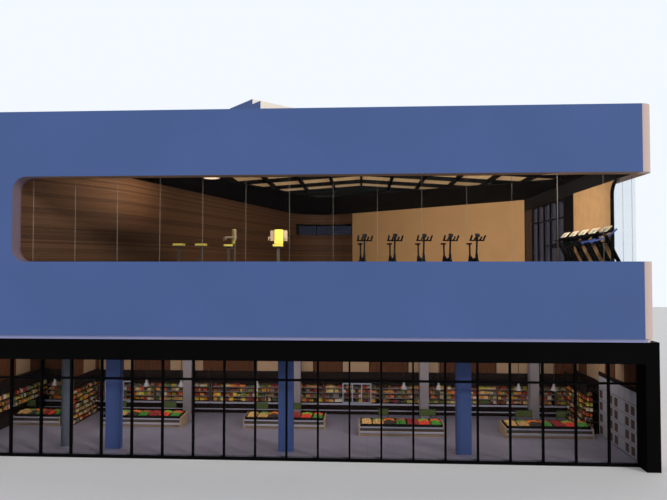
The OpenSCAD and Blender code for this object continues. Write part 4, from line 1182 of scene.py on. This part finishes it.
def produce_tree():
    """Heaps along one stand: a closed mound, and a fruit on each point of its top."""
    tree, given = open_tree("produce", {
        "Material": "Material", "Middle": "Vector", "Length": "Float", "Depth": "Float", "Base": "Float",
        "Crown": "Float", "Fruit": "Float", "Crates": "Float", "Seed": "Int"})
    count_x = reckon(tree, "CEIL", given["Length"]/given["Fruit"])
    count_y = reckon(tree, "CEIL", given["Depth"]/given["Fruit"])
    block = geo(tree, "MeshCube", {"Size": vector(tree, given["Length"], given["Depth"], given["Base"]),
                "Vertices X": count_x, "Vertices Y": count_y, "Vertices Z": 2})
    where = position(tree)
    on_top = where["Z"] > 0.0
    share = where["X"]/given["Length"] + 0.5
    in_turn = reckon(tree, "FLOOR", share*given["Crates"])
    crate = reckon(tree, "MINIMUM", in_turn, CRATES - 1.0)
    within = reckon(tree, "FRACT", reckon(tree, "MINIMUM", share, 0.999)*given["Crates"])*2.0 - 1.0
    rise_x = 1.0 - within*within
    half = where["Y"]*2.0/given["Depth"]
    rise_y = 1.0 - half*half
    rise = rise_x*rise_y*given["Crown"]
    swell = rise*on_top
    heaped = geo(tree, "SetPosition", {"Geometry": block, "Offset": vector(tree, z=swell)})
    row = (where["Y"] > 0.0)*given["Crates"]
    index = crate + row
    tint = (index + 0.5)/(2.0*CRATES)
    marked = geo(tree, "StoreNamedAttribute", {"Geometry": heaped, "Name": "tint", "Value": tint},
                 data_type="FLOAT", domain="POINT")
    ball = geo(tree, "MeshIcoSphere", {"Radius": 0.5, "Subdivisions": 2})
    smooth = geo(tree, "SetShadeSmooth", {"Geometry": ball})
    in_crate = (abs(within) < 0.84)*(abs(half) > 0.05)
    top_only = (where["Z"] > 0.001)*in_crate
    girth = given["Fruit"]*chance(tree, 0.95, 1.3, given["Seed"])
    tall = given["Fruit"]*chance(tree, 0.75, 1.35, 8)
    rolled = vector(tree, chance(tree, -0.5, 0.5, 9), chance(tree, -0.5, 0.5, 10), chance(tree, 0.0, 6.0, 14))
    fruit = geo(tree, "InstanceOnPoints", {
        "Points": marked, "Selection": top_only, "Instance": smooth, "Rotation": rolled,
        "Scale": vector(tree, girth, girth, tall)})
    placed = geo(tree, "Transform", {"Geometry": joined(tree, fruit, marked), "Translation": given["Middle"]})
    close_tree(tree, placed, given["Material"])
    return tree


stands = islands("produce_stands")
STAND_END, STAND_FRONT, STAND_BACK, LIP = 0.045, 0.34, 0.4, 0.03
deck_back = shop_z + STAND_BACK - 2*LIP
MOUND_H = 0.05
produce_mixed = produce_finish("produce_mixed")
produce = produce_tree()
for number, (near, far) in enumerate(stands):
    depth = far.y - near.y - 5*LIP
    grow("produce_%d" % (number + 1), produce, {
        "Material": produce_mixed, "Length": far.x - near.x - 2*STAND_END - 0.09, "Depth": depth - 0.09,
        "Middle": ((near.x + far.x)/2, (near.y + far.y)/2 - LIP/2, deck_back + MOUND_H/2 + 0.002),
        "Base": MOUND_H,
        "Crown": 0.09, "Fruit": 0.08, "Crates": float(CRATES), "Seed": 40 + number}, "produce_mixed")

# %% [markdown]
# Thin dark walls part the crates. They stand a little higher than the mound, so that each heap of fruit ends
# at a straight edge, as it does in a real crate.

# %% Crates round the produce
crate_dark = finish("crate_dark", (30, 27, 25), drift=0.2, drift_scale=4.0, grain_scale=200, depth=0.0004,
                    rough=(0.5, 0.65), gloss=0.1)
CRATE_WALL = 0.022
walls = []
for near, far in stands:
    left, right = near.x + STAND_END + 0.02, far.x - STAND_END - 0.02
    front, back = near.y + 0.068, far.y - 0.068 - LIP
    foot, top = deck_back + 0.004, deck_back + MOUND_H + 0.05
    for share in range(CRATES + 1):
        x = left + 0.02 + (right - left - 0.04)*share/CRATES
        walls.append(((x - CRATE_WALL/2, front, foot), (x + CRATE_WALL/2, back, top)))
    for y in (front, (near.y + far.y)/2 - LIP/2, back):
        walls.append(((left + 0.01, y - CRATE_WALL/2, foot + 0.001),
                      (right - 0.01, y + CRATE_WALL/2, top - 0.004)))
boards("produce_crates", walls, crate_dark, "board_green", edge=0.002)

# %% [markdown]
# Small boards at the back of the stands carry the prices. They are made plain: a dark green panel in a thin
# frame, held over the produce by the frame's own two legs.

# %% Price boards
PRICE_BOARDS = [(-11.19, 0.39), (-7.43, 0.56), (-5.37, 0.59), (-1.56, 0.54), (-0.2, 0.54), (3.34, 0.39),
                (5.07, 0.61), (8.73, 0.64), (10.14, 0.37)]
board_green = finish("board_green", (74, 88, 40), drift=0.12, drift_scale=5.0, grain_scale=120, depth=0.0004,
                     rough=(0.6, 0.75))
board_frame = finish("board_frame", (46, 54, 28), drift=0.15, grain_scale=160, depth=0.0004,
                     rough=(0.55, 0.7))
panels = []
frames = []
BOARD_H = 0.26
for middle, width in PRICE_BOARDS:
    near, far = next(box for box in stands if box[0].x <= middle <= box[1].x)
    left, right = max(middle - width/2, near.x + 0.03), middle + width/2
    back = far.y - 0.02
    foot = far.z + 0.13
    panels.append(((left + 0.015, back - 0.014, foot + 0.015),
                   (right - 0.015, back - 0.006, foot + BOARD_H - 0.015)))
    for low_z in (foot, foot + BOARD_H - 0.02):
        frames.append(((left, back - 0.02, low_z), (right, back, low_z + 0.02)))
    for x in (left, right - 0.02):
        frames.append(((x, back - 0.019, far.z - 0.04), (x + 0.02, back - 0.001, foot + BOARD_H - 0.001)))
boards("price_boards", panels, board_green, "board_green", edge=0.002)
boards("price_board_frames", frames, board_frame, "board_green", edge=0.002)

# %% [markdown]
# Above the cabinets the wall steps forward as a bulkhead, clad in turns with smooth beige panels and with
# upright oak boards. Each kind has a list of where its fields start and end; a field of oak is cut into
# narrow boards with open joints, and a beige one stays whole.

# %% Cladding of the bulkhead
BEIGE_FIELDS = [(-8.95, -7.9), (-7.86, -7.4), (-5.8, -4.36), (-2.1, -1.09), (-0.4, 0.42), (1.7, 2.82),
                (4.5, 5.8), (8.2, 9.6), (10.0, 10.6)]
OAK_FIELDS = [(-11.4, -10.64), (-10.6, -8.98), (-7.37, -5.83), (-4.34, -2.15), (-1.05, -0.42), (0.46, 1.66),
              (2.86, 4.46), (5.84, 8.16), (10.64, 11.43)]
bulkhead_low = shop_z + 1.81
bulkhead_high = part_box("display_wall")[1].z
face_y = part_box("display_wall")[0].y
OAK_W = 0.11
panel_beige = finish("panel_beige", (164, 132, 99), drift=0.05, drift_scale=1.4, grain_scale=120,
                     depth=0.0004, rough=(0.5, 0.65))
OAK_T, BEIGE_T, JOINT = 0.03, 0.02, 0.004


def cut(spans, width=None):
    """Spans of a wall as boards, each narrowed by its joints; a wide span is cut where a width is given."""
    made = []
    for start, end in spans:
        count = max(1, round((end - start)/width)) if width else 1
        step = (end - start)/count
        made += [(start + i*step + JOINT, start + (i + 1)*step - JOINT) for i in range(count)]
    return made


def clad(name, spans, thick, material, slot):
    """Boards on the face of the bulkhead, over its whole height."""
    boards(name, [((left, face_y - thick, bulkhead_low + JOINT),
                   (right, face_y - 0.001, bulkhead_high - JOINT)) for left, right in spans], material, slot)


clad("bulkhead_panels", BEIGE_FIELDS, BEIGE_T, panel_beige, "display_boards")
clad("bulkhead_oak", cut(OAK_FIELDS, OAK_W), OAK_T, board_wood, "oak_boards")

# %% [markdown]
# The shop's right wall is lined with white cabinets that show as a grid of shallow fields between thin
# rails. A loop over columns and rows lays the doors, each a finger's breadth short of its field, and gives
# two columns out of three a small brown field in each door but the top ones.

# %% White cabinets on the right wall
wall_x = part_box("ground_wall_right")[0].x
LINING_FROM, LINING_TO, LINING_COLUMNS = -10.2, -7.35, 7
LINING_ROWS = (0.02, 0.46, 0.9, 1.34, 1.78, 2.22)
column_w = (LINING_TO - LINING_FROM)/LINING_COLUMNS
DOOR_GAP, WINDOW_GAP, WINDOWS_BELOW = 0.01, 0.08, 1.8
doors = []
windows = []
for column in range(LINING_COLUMNS):
    y = LINING_FROM + column*column_w
    for a, b in zip(LINING_ROWS, LINING_ROWS[1:]):
        foot, top = shop_z + a, shop_z + b
        doors.append(((wall_x - 0.03, y + DOOR_GAP, foot + DOOR_GAP),
                      (wall_x - 0.001, y + column_w - DOOR_GAP, top - DOOR_GAP)))
        if column%3 != 2 and b < WINDOWS_BELOW:
            windows.append(((wall_x - 0.036, y + WINDOW_GAP, foot + WINDOW_GAP),
                            (wall_x - 0.031, y + column_w - WINDOW_GAP, top - 0.07)))
wall_white = finish("wall_white", (158, 154, 158), drift=0.05, drift_scale=2.0, grain_scale=200, depth=0.0003,
                    rough=(0.4, 0.55))
boards("wall_cabinet_doors", doors, wall_white, "display_boards", edge=0.006)
boards("wall_cabinet_windows", windows, upright_brown, "display_boards", edge=0.002)

# %% [markdown]
# The produce stands have a pale rim and one pale rail over a dark body. Thin boards are laid on the stand's
# own rails, so their colour and their worn edges differ from the wood behind.

# %% Rails of the produce stands
RAIL_H = 0.08
KICK_H = 0.1
kick_z = shop_z + KICK_H
rim_z = shop_z + STAND_FRONT
pale = []
dark = []
for near, far in stands:
    left, right = near.x + STAND_END + 0.002, far.x - STAND_END - 0.002
    front = near.y
    face = front + LIP
    pale.append(((left, front - 0.008, kick_z + 0.004), (right, front - 0.0005, kick_z + RAIL_H - 0.004)))
    dark.append(((left, face - 0.006, kick_z + RAIL_H + 0.004), (right, face - 0.0005, rim_z - 0.052)))
    pale.append(((left, face - 0.012, rim_z - 0.05), (right, face - 0.0005, rim_z)))
boards("stand_rails", pale, rail_white, "stand_wood")
boards("stand_recesses", dark, machine_grey, "stand_wood", edge=0.002)

# %% [markdown]
# Several fittings have one outline that simply runs through from side to side: a console, a curved rail, the
# end of a gable. They are drawn as an outline in the plane across the building, and pushed through its width.

# %% Helper for outlines pushed through a width
def pushed(name, parts, material, slot, edge=0.0):
    """One piece from outlines [(x, z), ...], each pushed from y0 to y1."""
    made = bmesh.new()
    for outline, y0, y1 in parts:
        near = [made.verts.new((x, y0, z)) for x, z in outline]
        far = [made.verts.new((x, y1, z)) for x, z in outline]
        made.faces.new(near)
        made.faces.new(list(reversed(far)))
        for i in range(len(outline)):
            j = (i + 1)%len(outline)
            made.faces.new((near[i], far[i], far[j], near[j]))
    bmesh.ops.recalc_face_normals(made, faces=made.faces)
    if edge > 0:
        bmesh.ops.bevel(made, geom=made.edges, offset=edge, segments=1, affect="EDGES")
    piece = held(name, made)
    dress(piece, material)
    return settle(piece, slot)


def band(points, thick):
    """The outline of a strip of one thickness that follows a line of points."""
    upper = []
    lower = []
    for i, (x, z) in enumerate(points):
        a, b = points[max(i - 1, 0)], points[min(i + 1, len(points) - 1)]
        along = Vector((b[0] - a[0], b[1] - a[1])).normalized()
        upper.append((x - along.y*thick/2, z + along.x*thick/2))
        lower.append((x + along.y*thick/2, z - along.x*thick/2))
    return upper + lower[::-1]


# %% [markdown]
# The gable of the roof light is closed at its two ends by a black board between the kerb and the end bar.
# Without it a wedge of sky would show over the kerb.

# %% Ends of the roof light's gable
BAR_H = 0.18
KERB_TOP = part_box("roof_light_curb")[1].z
ridge_under = bars_high.z - BAR_H
END_REACH = (ridge_under - KERB_TOP)/ROOF_SLOPE + 0.8
END_T = 0.02
END_INSET = 0.04
end_top = ridge_under - ROOF_SLOPE*END_REACH - 0.002
gable_end = [(ridge_x - END_REACH, KERB_TOP - 0.06), (ridge_x + END_REACH, KERB_TOP - 0.06),
             (ridge_x + END_REACH, end_top), (ridge_x, ridge_under - 0.002), (ridge_x - END_REACH, end_top)]
front_end, rear_end = bars_low.y + END_INSET, bars_high.y - END_INSET
pushed("roof_light_ends", [(gable_end, front_end, front_end + END_T),
                           (gable_end, rear_end - END_T, rear_end)], satin_black, "black_metal")

# %% [markdown]
# A treadmill's console is a tilted cream plate on a dark hood, and its handrails curve up to it. In the photo
# the plates catch the light and the nearest rail shows blue, and that blue is painted shade on the nearest
# machine's rails. One outline serves all five machines.

# %% Consoles and rails of the treadmills
TREADMILLS = [(11.0, -9.87 + 0.93*i, 6.2) for i in range(5)]
HOOD = [(-0.49, 1.375), (-0.286, 1.462), (-0.215, 1.585), (-0.48, 1.335)]
PLATE = [(-0.492, 1.332), (-0.482, 1.322), (-0.216, 1.588), (-0.232, 1.60)]
SCREEN = [(-0.427, 1.400), (-0.423, 1.396), (-0.297, 1.528), (-0.301, 1.532)]
RAIL = [(-1.0, 1.075), (-0.9, 1.085), (-0.78, 1.105), (-0.65, 1.14), (-0.52, 1.19), (-0.4, 1.25),
        (-0.28, 1.33), (-0.18, 1.41), (-0.1, 1.49)]
RAIL_FOOT = [(-0.94, 1.0), (-0.9, 1.0), (-0.9, 1.06), (-0.94, 1.06)]


def on_machine(outline, machine, y0, y1):
    """An outline at one treadmill, from y0 to y1 either side of its middle line."""
    x, y, z = machine
    return [(x + a, z + b) for a, b in outline], y + y0, y + y1


console_cream = finish("console_cream", (244, 222, 192), drift=0.06, drift_scale=4.0, grain_scale=220,
                       depth=0.0003, rough=(0.35, 0.5))
console_screen = finish("console_screen", (176, 182, 160), drift=0.15, drift_scale=6.0, grain_scale=220,
                        depth=0.0002, rough=(0.2, 0.35))
# The blue of the nearest machine's rails is painted shade.
rail_blue = finish("rail_blue", (70, 92, 158), drift=0.08, drift_scale=3.0, grain_scale=220, depth=0.0002,
                   rough=(0.3, 0.45))
pushed("console_hoods", [on_machine(HOOD, machine, -0.25, 0.25) for machine in TREADMILLS], machine_black,
       "bike_black")
pushed("console_plates", [on_machine(PLATE, machine, -0.29, 0.29) for machine in TREADMILLS], console_cream,
       "treadmill_grey")
pushed("console_screens", [on_machine(SCREEN, machine, -0.15, 0.15) for machine in TREADMILLS],
       console_screen, "treadmill_grey")
rails = [[], []]
for number, machine in enumerate(TREADMILLS):
    for y0 in (-0.37, 0.33):
        kind = rails[0 if number == 0 else 1]
        kind.append(on_machine(band(RAIL, 0.05), machine, y0, y0 + 0.04))
        kind.append(on_machine(RAIL_FOOT, machine, y0 + 0.002, y0 + 0.038))
pushed("treadmill_rails_near", rails[0], rail_blue, "treadmill_grey")
pushed("treadmill_rails_far", rails[1], machine_black, "treadmill_grey")

# %% [markdown]
# The seats and backs of the strength machines are upholstered. A pad starts as the construction's own block
# and is rounded by subdivision, with creases that hold its outline while the faces swell between the edges.

# %% Upholstered pads
def upholstered(name, source, crease, levels):
    """A soft copy of a node's blocks."""
    made = bmesh.new()
    made.from_mesh(nodes[source].data)
    bmesh.ops.remove_doubles(made, verts=made.verts, dist=1e-5)
    bmesh.ops.dissolve_limit(made, angle_limit=radians(2), verts=made.verts, edges=made.edges)
    sharp = made.edges.layers.float.new("crease_edge")
    for edge in made.edges:
        edge[sharp] = crease
    piece = held(name, made)
    rounding = piece.modifiers.new("rounding", "SUBSURF")
    rounding.levels = rounding.render_levels = levels
    soft = bpy.data.meshes.new_from_object(piece.evaluated_get(bpy.context.evaluated_depsgraph_get()))
    piece.modifiers.clear()
    piece.data = soft
    for face in soft.polygons:
        face.use_smooth = True
    dress(piece, pad_yellow)
    return piece


pads = upholstered("soft_pads", "machine_pads", 0.55, 4)
settle(pads, "machine_yellow", "machine_pads")

# %% [markdown]
# The handlebars of the exercise bikes are wrapped in thick black foam, which makes them read as bold forks
# against the sand-coloured wall. Each grip is a round-ended bar between two points of the handlebar, and the
# points turn with the bike, so one list of grips serves all five.

# %% Grips of the exercise bikes
BIKE_TURN = radians(14)
BIKE_X = (6.615, 5.66, 4.705, 3.65, 2.545)
BIKE_Y, BIKE_FLOOR = -8.26, 6.2
HAND_Z = 1.19
GRIPS = [((-0.27, -0.29, HAND_Z), (0.27, -0.29, HAND_Z), 0.026),
         ((0, -0.29, HAND_Z), (0, -0.35, HAND_Z + 0.2), 0.045)]
for side in (-1, 1):
    GRIPS += [((side*0.25, -0.29, HAND_Z + 0.01), (side*0.262, -0.43, HAND_Z + 0.165), 0.032),
              ((side*0.11, -0.29, HAND_Z + 0.01), (side*0.11, -0.455, HAND_Z + 0.115), 0.03)]


def rounded_bars(name, bars, material, slot, sides=12, cap_rings=3):
    """One piece of round-ended bars, each (from, to, radius)."""
    made = bmesh.new()
    for start, end, radius in bars:
        start, end = Vector(start), Vector(end)
        along = (end - start).normalized()
        across = along.orthogonal().normalized()
        other = along.cross(across)
        rings = []
        for centre, way in ((start, -1), (end, 1)):
            angles = [pi/2*(i + 0.5)/cap_rings for i in range(cap_rings)]
            for angle in (reversed(angles) if way < 0 else angles):
                middle = centre + along*way*radius*sin(angle)
                rings.append([made.verts.new(middle + radius*cos(angle)*(across*cos(t) + other*sin(t)))
                              for t in (2*pi*i/sides for i in range(sides))])
        for lower, upper in zip(rings, rings[1:]):
            for i in range(sides):
                j = (i + 1)%sides
                made.faces.new((lower[i], lower[j], upper[j], upper[i]))
        made.faces.new(rings[0][::-1])
        made.faces.new(rings[-1])
    bmesh.ops.recalc_face_normals(made, faces=made.faces)
    piece = held(name, made)
    piece.data.shade_smooth()
    dress(piece, material)
    return settle(piece, slot)


bars = []
for bike_x in BIKE_X:
    place = Matrix.Translation((bike_x, BIKE_Y, BIKE_FLOOR)) @ Matrix.Rotation(BIKE_TURN, 4, "Z")
    bars += [(place @ Vector(start), place @ Vector(end), radius) for start, end, radius in GRIPS]
rounded_bars("bike_grips", bars, machine_black, "bike_black")

# %% [markdown]
# Over the shelving on the shop's two sides the bulkhead comes round the corner: a dark band above the goods,
# then upright fields of oak and of smooth beige board up to the ceiling. The fields are laid along the wall.

# %% Bulkheads of the side walls
def wall_fields(name, face_x, out, fields, low_z, high_z):
    """Fields along a side wall: {material: [(y0, y1), ...]}, `out` is the way into the room."""
    for material, spans in fields.items():
        width, thick = (OAK_W, OAK_T) if material is board_wood else (None, BEIGE_T)
        x0, x1 = sorted((face_x + out*0.001, face_x + out*thick))
        boards("%s_%s" % (name, material.name), [((x0, y0, low_z), (x1, y1, high_z))
                                                 for y0, y1 in cut(spans, width)], material, "display_boards")


def wall_board(name, face_x, out, y0, y1, z0, z1, thick, gap=0.001):
    """One dark board flat on a side wall."""
    x0, x1 = sorted((face_x + out*gap, face_x + out*thick))
    boards(name, [((x0, y0, z0), (x1, y1, z1))], cabinet_brown, "cabinet_grey")


side_units = islands("side_shelving")
left_unit, right_unit = side_units[0], side_units[-1]
FIELD_LOW = shop_z + 1.91
BAND_LOW = shop_z + 1.44
cabinet_brown = finish("cabinet_brown", (32, 22, 18), drift=0.15, drift_scale=2.0, grain_scale=160,
                       depth=0.0004, rough=(0.5, 0.65), gloss=0.1)
back_y = face_y - 0.035
ceiling_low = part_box("display_wall")[1].z - 0.01
boards("side_bulkhead", [((left_unit[0].x, left_unit[0].y, shop_z + CABINET_H + 0.002),
                          (left_unit[1].x, back_y, ceiling_low))], cabinet_brown, "cabinet_grey")
wall_fields("side_fields", left_unit[1].x, 1, {board_wood: [(-7.26, -6.42), (-5.36, back_y)],
                                               panel_beige: [(-6.4, -5.38)]}, FIELD_LOW, ceiling_low)
boards("side_bands", [((left_unit[1].x + 0.001, left_unit[0].y, BAND_LOW),
                       (left_unit[1].x + 0.035, back_y, FIELD_LOW - 0.003)),
                      ((right_unit[0].x - 0.035, right_unit[0].y, BAND_LOW),
                       (right_unit[0].x - 0.001, back_y, FIELD_LOW - 0.003))], cabinet_brown, "cabinet_grey")
right_low = shop_z + LINING_ROWS[-1] + 0.16
wall_board("right_band", wall_x, -1, LINING_FROM, LINING_TO, shop_z + LINING_ROWS[-1] + 0.002,
           right_low - 0.003, 0.034)
wall_fields("right_fields", wall_x, -1, {
    board_wood: [(-10.2, -9.4), (-8.7, -7.9)], panel_beige: [(-9.38, -8.72), (-7.88, -7.37)]}, right_low,
    ceiling_low)
wall_fields("shelving_fields", wall_x, -1, {board_wood: [(-6.2, -5.4)],
                                            panel_beige: [(-7.35, -6.22), (-5.38, back_y)]},
            shop_z + CABINET_H + 0.03, ceiling_low)
left_wall_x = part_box("ground_wall_left")[1].x
wall_fields("left_fields", left_wall_x, 1, {
    board_wood: [(-10.2, -9.2), (-8.0, -7.0), (-6.0, back_y)], panel_beige: [(-9.18, -8.02), (-6.98, -6.02)]},
            FIELD_LOW, ceiling_low)
wall_board("left_lining", left_wall_x, 1, LINING_FROM, back_y, shop_z + 0.01, FIELD_LOW - 0.004, 0.02)

# %% [markdown]
# On the left wall the goods stand on three shallow shelves between the base cabinets and the dark band. The
# same tree that fills the other shelves fills these, turned to run along the wall.

# %% Shelves on the left wall
LEFT_PITCH, LEFT_LEVELS, LEFT_DEEP = 0.22, 3, 0.26
LEFT_FROM = -9.6
left_deck = BAND_LOW - LEFT_LEVELS*LEFT_PITCH
boards("left_shelf_boards", [((left_wall_x + 0.022, LEFT_FROM, left_deck + level*LEFT_PITCH - THIN_BOARD),
                              (left_wall_x + LEFT_DEEP, back_y, left_deck + level*LEFT_PITCH))
                             for level in range(LEFT_LEVELS)], cabinet_dark, "cabinet_grey", edge=0.001)
wall_board("left_band", left_wall_x, 1, LEFT_FROM, back_y, BAND_LOW, FIELD_LOW - 0.006, LEFT_DEEP, gap=0.022)
stocked("left_goods", (left_wall_x + LEFT_DEEP - 0.06, LEFT_FROM + 0.06, left_deck + SHELF_GAP),
        (0, SIDE_STEP, 0), (-SIDE_ROW, 0, 0), back_y - LEFT_FROM - 0.1, LEFT_PITCH, LEFT_LEVELS, SIDE_PACKET,
        SIDE_FACING, 37)

# %% [markdown]
# The camera stands where the photograph was taken from, a little right of the middle and at the height of
# the gym floor, turned slightly to the left and up.

# %% Camera
EYE = (2.5, -29.06, 6.5)
LEFT_TURN = radians(2.85)
UP_TILT = radians(1.53)
LENS_MM = 30.22
camera = linked("camera", bpy.data.cameras.new("camera"))
camera.data.lens = LENS_MM
camera.data.sensor_width = 36.0
camera.location = EYE
camera.rotation_euler = Euler((pi/2 + UP_TILT, 0, LEFT_TURN))
bpy.context.scene.camera = camera
print("camera at", EYE)

# %% [markdown]
# The light is a pale surround and one broad soft sun from the right, at a level at which the colours above
# render about as they are written. Neither reaches far into the rooms, so a few broad lamps stand just inside
# the shopfront and the long window. The camera doesn't see them.

# %% Surround, lamps and floor
def lamp(name, kind, place, aim, energy, colour=(1, 1, 1), **sizes):
    """A lamp at a place, pointing at another, that the camera doesn't see."""
    light = bpy.data.lights.new(name, kind)
    light.energy = energy
    light.color = colour
    for size, value in sizes.items():
        setattr(light, size, value)
    made = linked(name, light)
    made.location = place
    made.rotation_euler = (Vector(aim) - Vector(place)).to_track_quat("-Z", "Y").to_euler()
    made.visible_camera = False


world = bpy.data.worlds.new("pale_surround")
world.use_nodes = True
bpy.context.scene.world = world
sky = world.node_tree
path = put(sky, "ShaderNodeLightPath").outputs
seen = reckon(sky, "MAXIMUM", path["Is Camera Ray"], path["Is Glossy Ray"])
seen = reckon(sky, "MAXIMUM", seen, path["Is Transmission Ray"])
WORLD_LIGHT = 0.6
around = put(sky, "ShaderNodeBackground", {"Color": (0.97, 0.98, 1.0, 1), "Strength": WORLD_LIGHT}).outputs[0]
shown = put(sky, "ShaderNodeBackground", {"Color": (0.9, 0.95, 1.0, 1), "Strength": 1.0}).outputs[0]
pale = put(sky, "ShaderNodeMixShader", {"Fac": seen, 1: around, 2: shown}).outputs[0]
sky.links.new(pale, sky.nodes["World Output"].inputs["Surface"])

lamp("sun", "SUN", (20, -16, 17), (0, 0, 5), 1.5, (1.0, 0.95, 0.86), angle=radians(12))
lamp("shop_light", "AREA", (0, -8.6, 3.9), (0, -5.2, 0.6), 420, (1.0, 0.95, 0.88), shape="RECTANGLE",
     size=22, size_y=1)
lamp("gym_light", "AREA", (4.7, -10.3, 8.9), (4.7, 1.0, 7.8), 1040, (1.0, 0.93, 0.84), shape="RECTANGLE",
     size=8, size_y=0.5, spread=radians(150))
lamp("wall_light", "AREA", (1.0, -8.0, 9.4), (-8.0, -7.4, 9.8), 38, (1.0, 0.84, 0.64), shape="RECTANGLE",
     size=3, size_y=0.1, spread=radians(30))
lamp("deck_light", "AREA", (8.0, -10.2, 9.2), (10.6, -8.4, 7.5), 60, (1.0, 0.94, 0.86), size=0.8)

FLOOR_HALF = 60.0
floor_mesh = bpy.data.meshes.new("studio_floor")
floor_mesh.from_pydata([(x*FLOOR_HALF, y*FLOOR_HALF, 0) for x, y in ((-1, -1), (1, -1), (1, 1), (-1, 1))], [],
                       [(0, 1, 2, 3)])
floor = linked("studio_floor", floor_mesh)
dress(floor, finish("pale_floor", (226, 226, 228), drift=0.01, rough=(0.8, 0.9)))
print("light", WORLD_LIGHT)

# %% Finish
bpy.context.scene.view_settings.view_transform = "Standard"
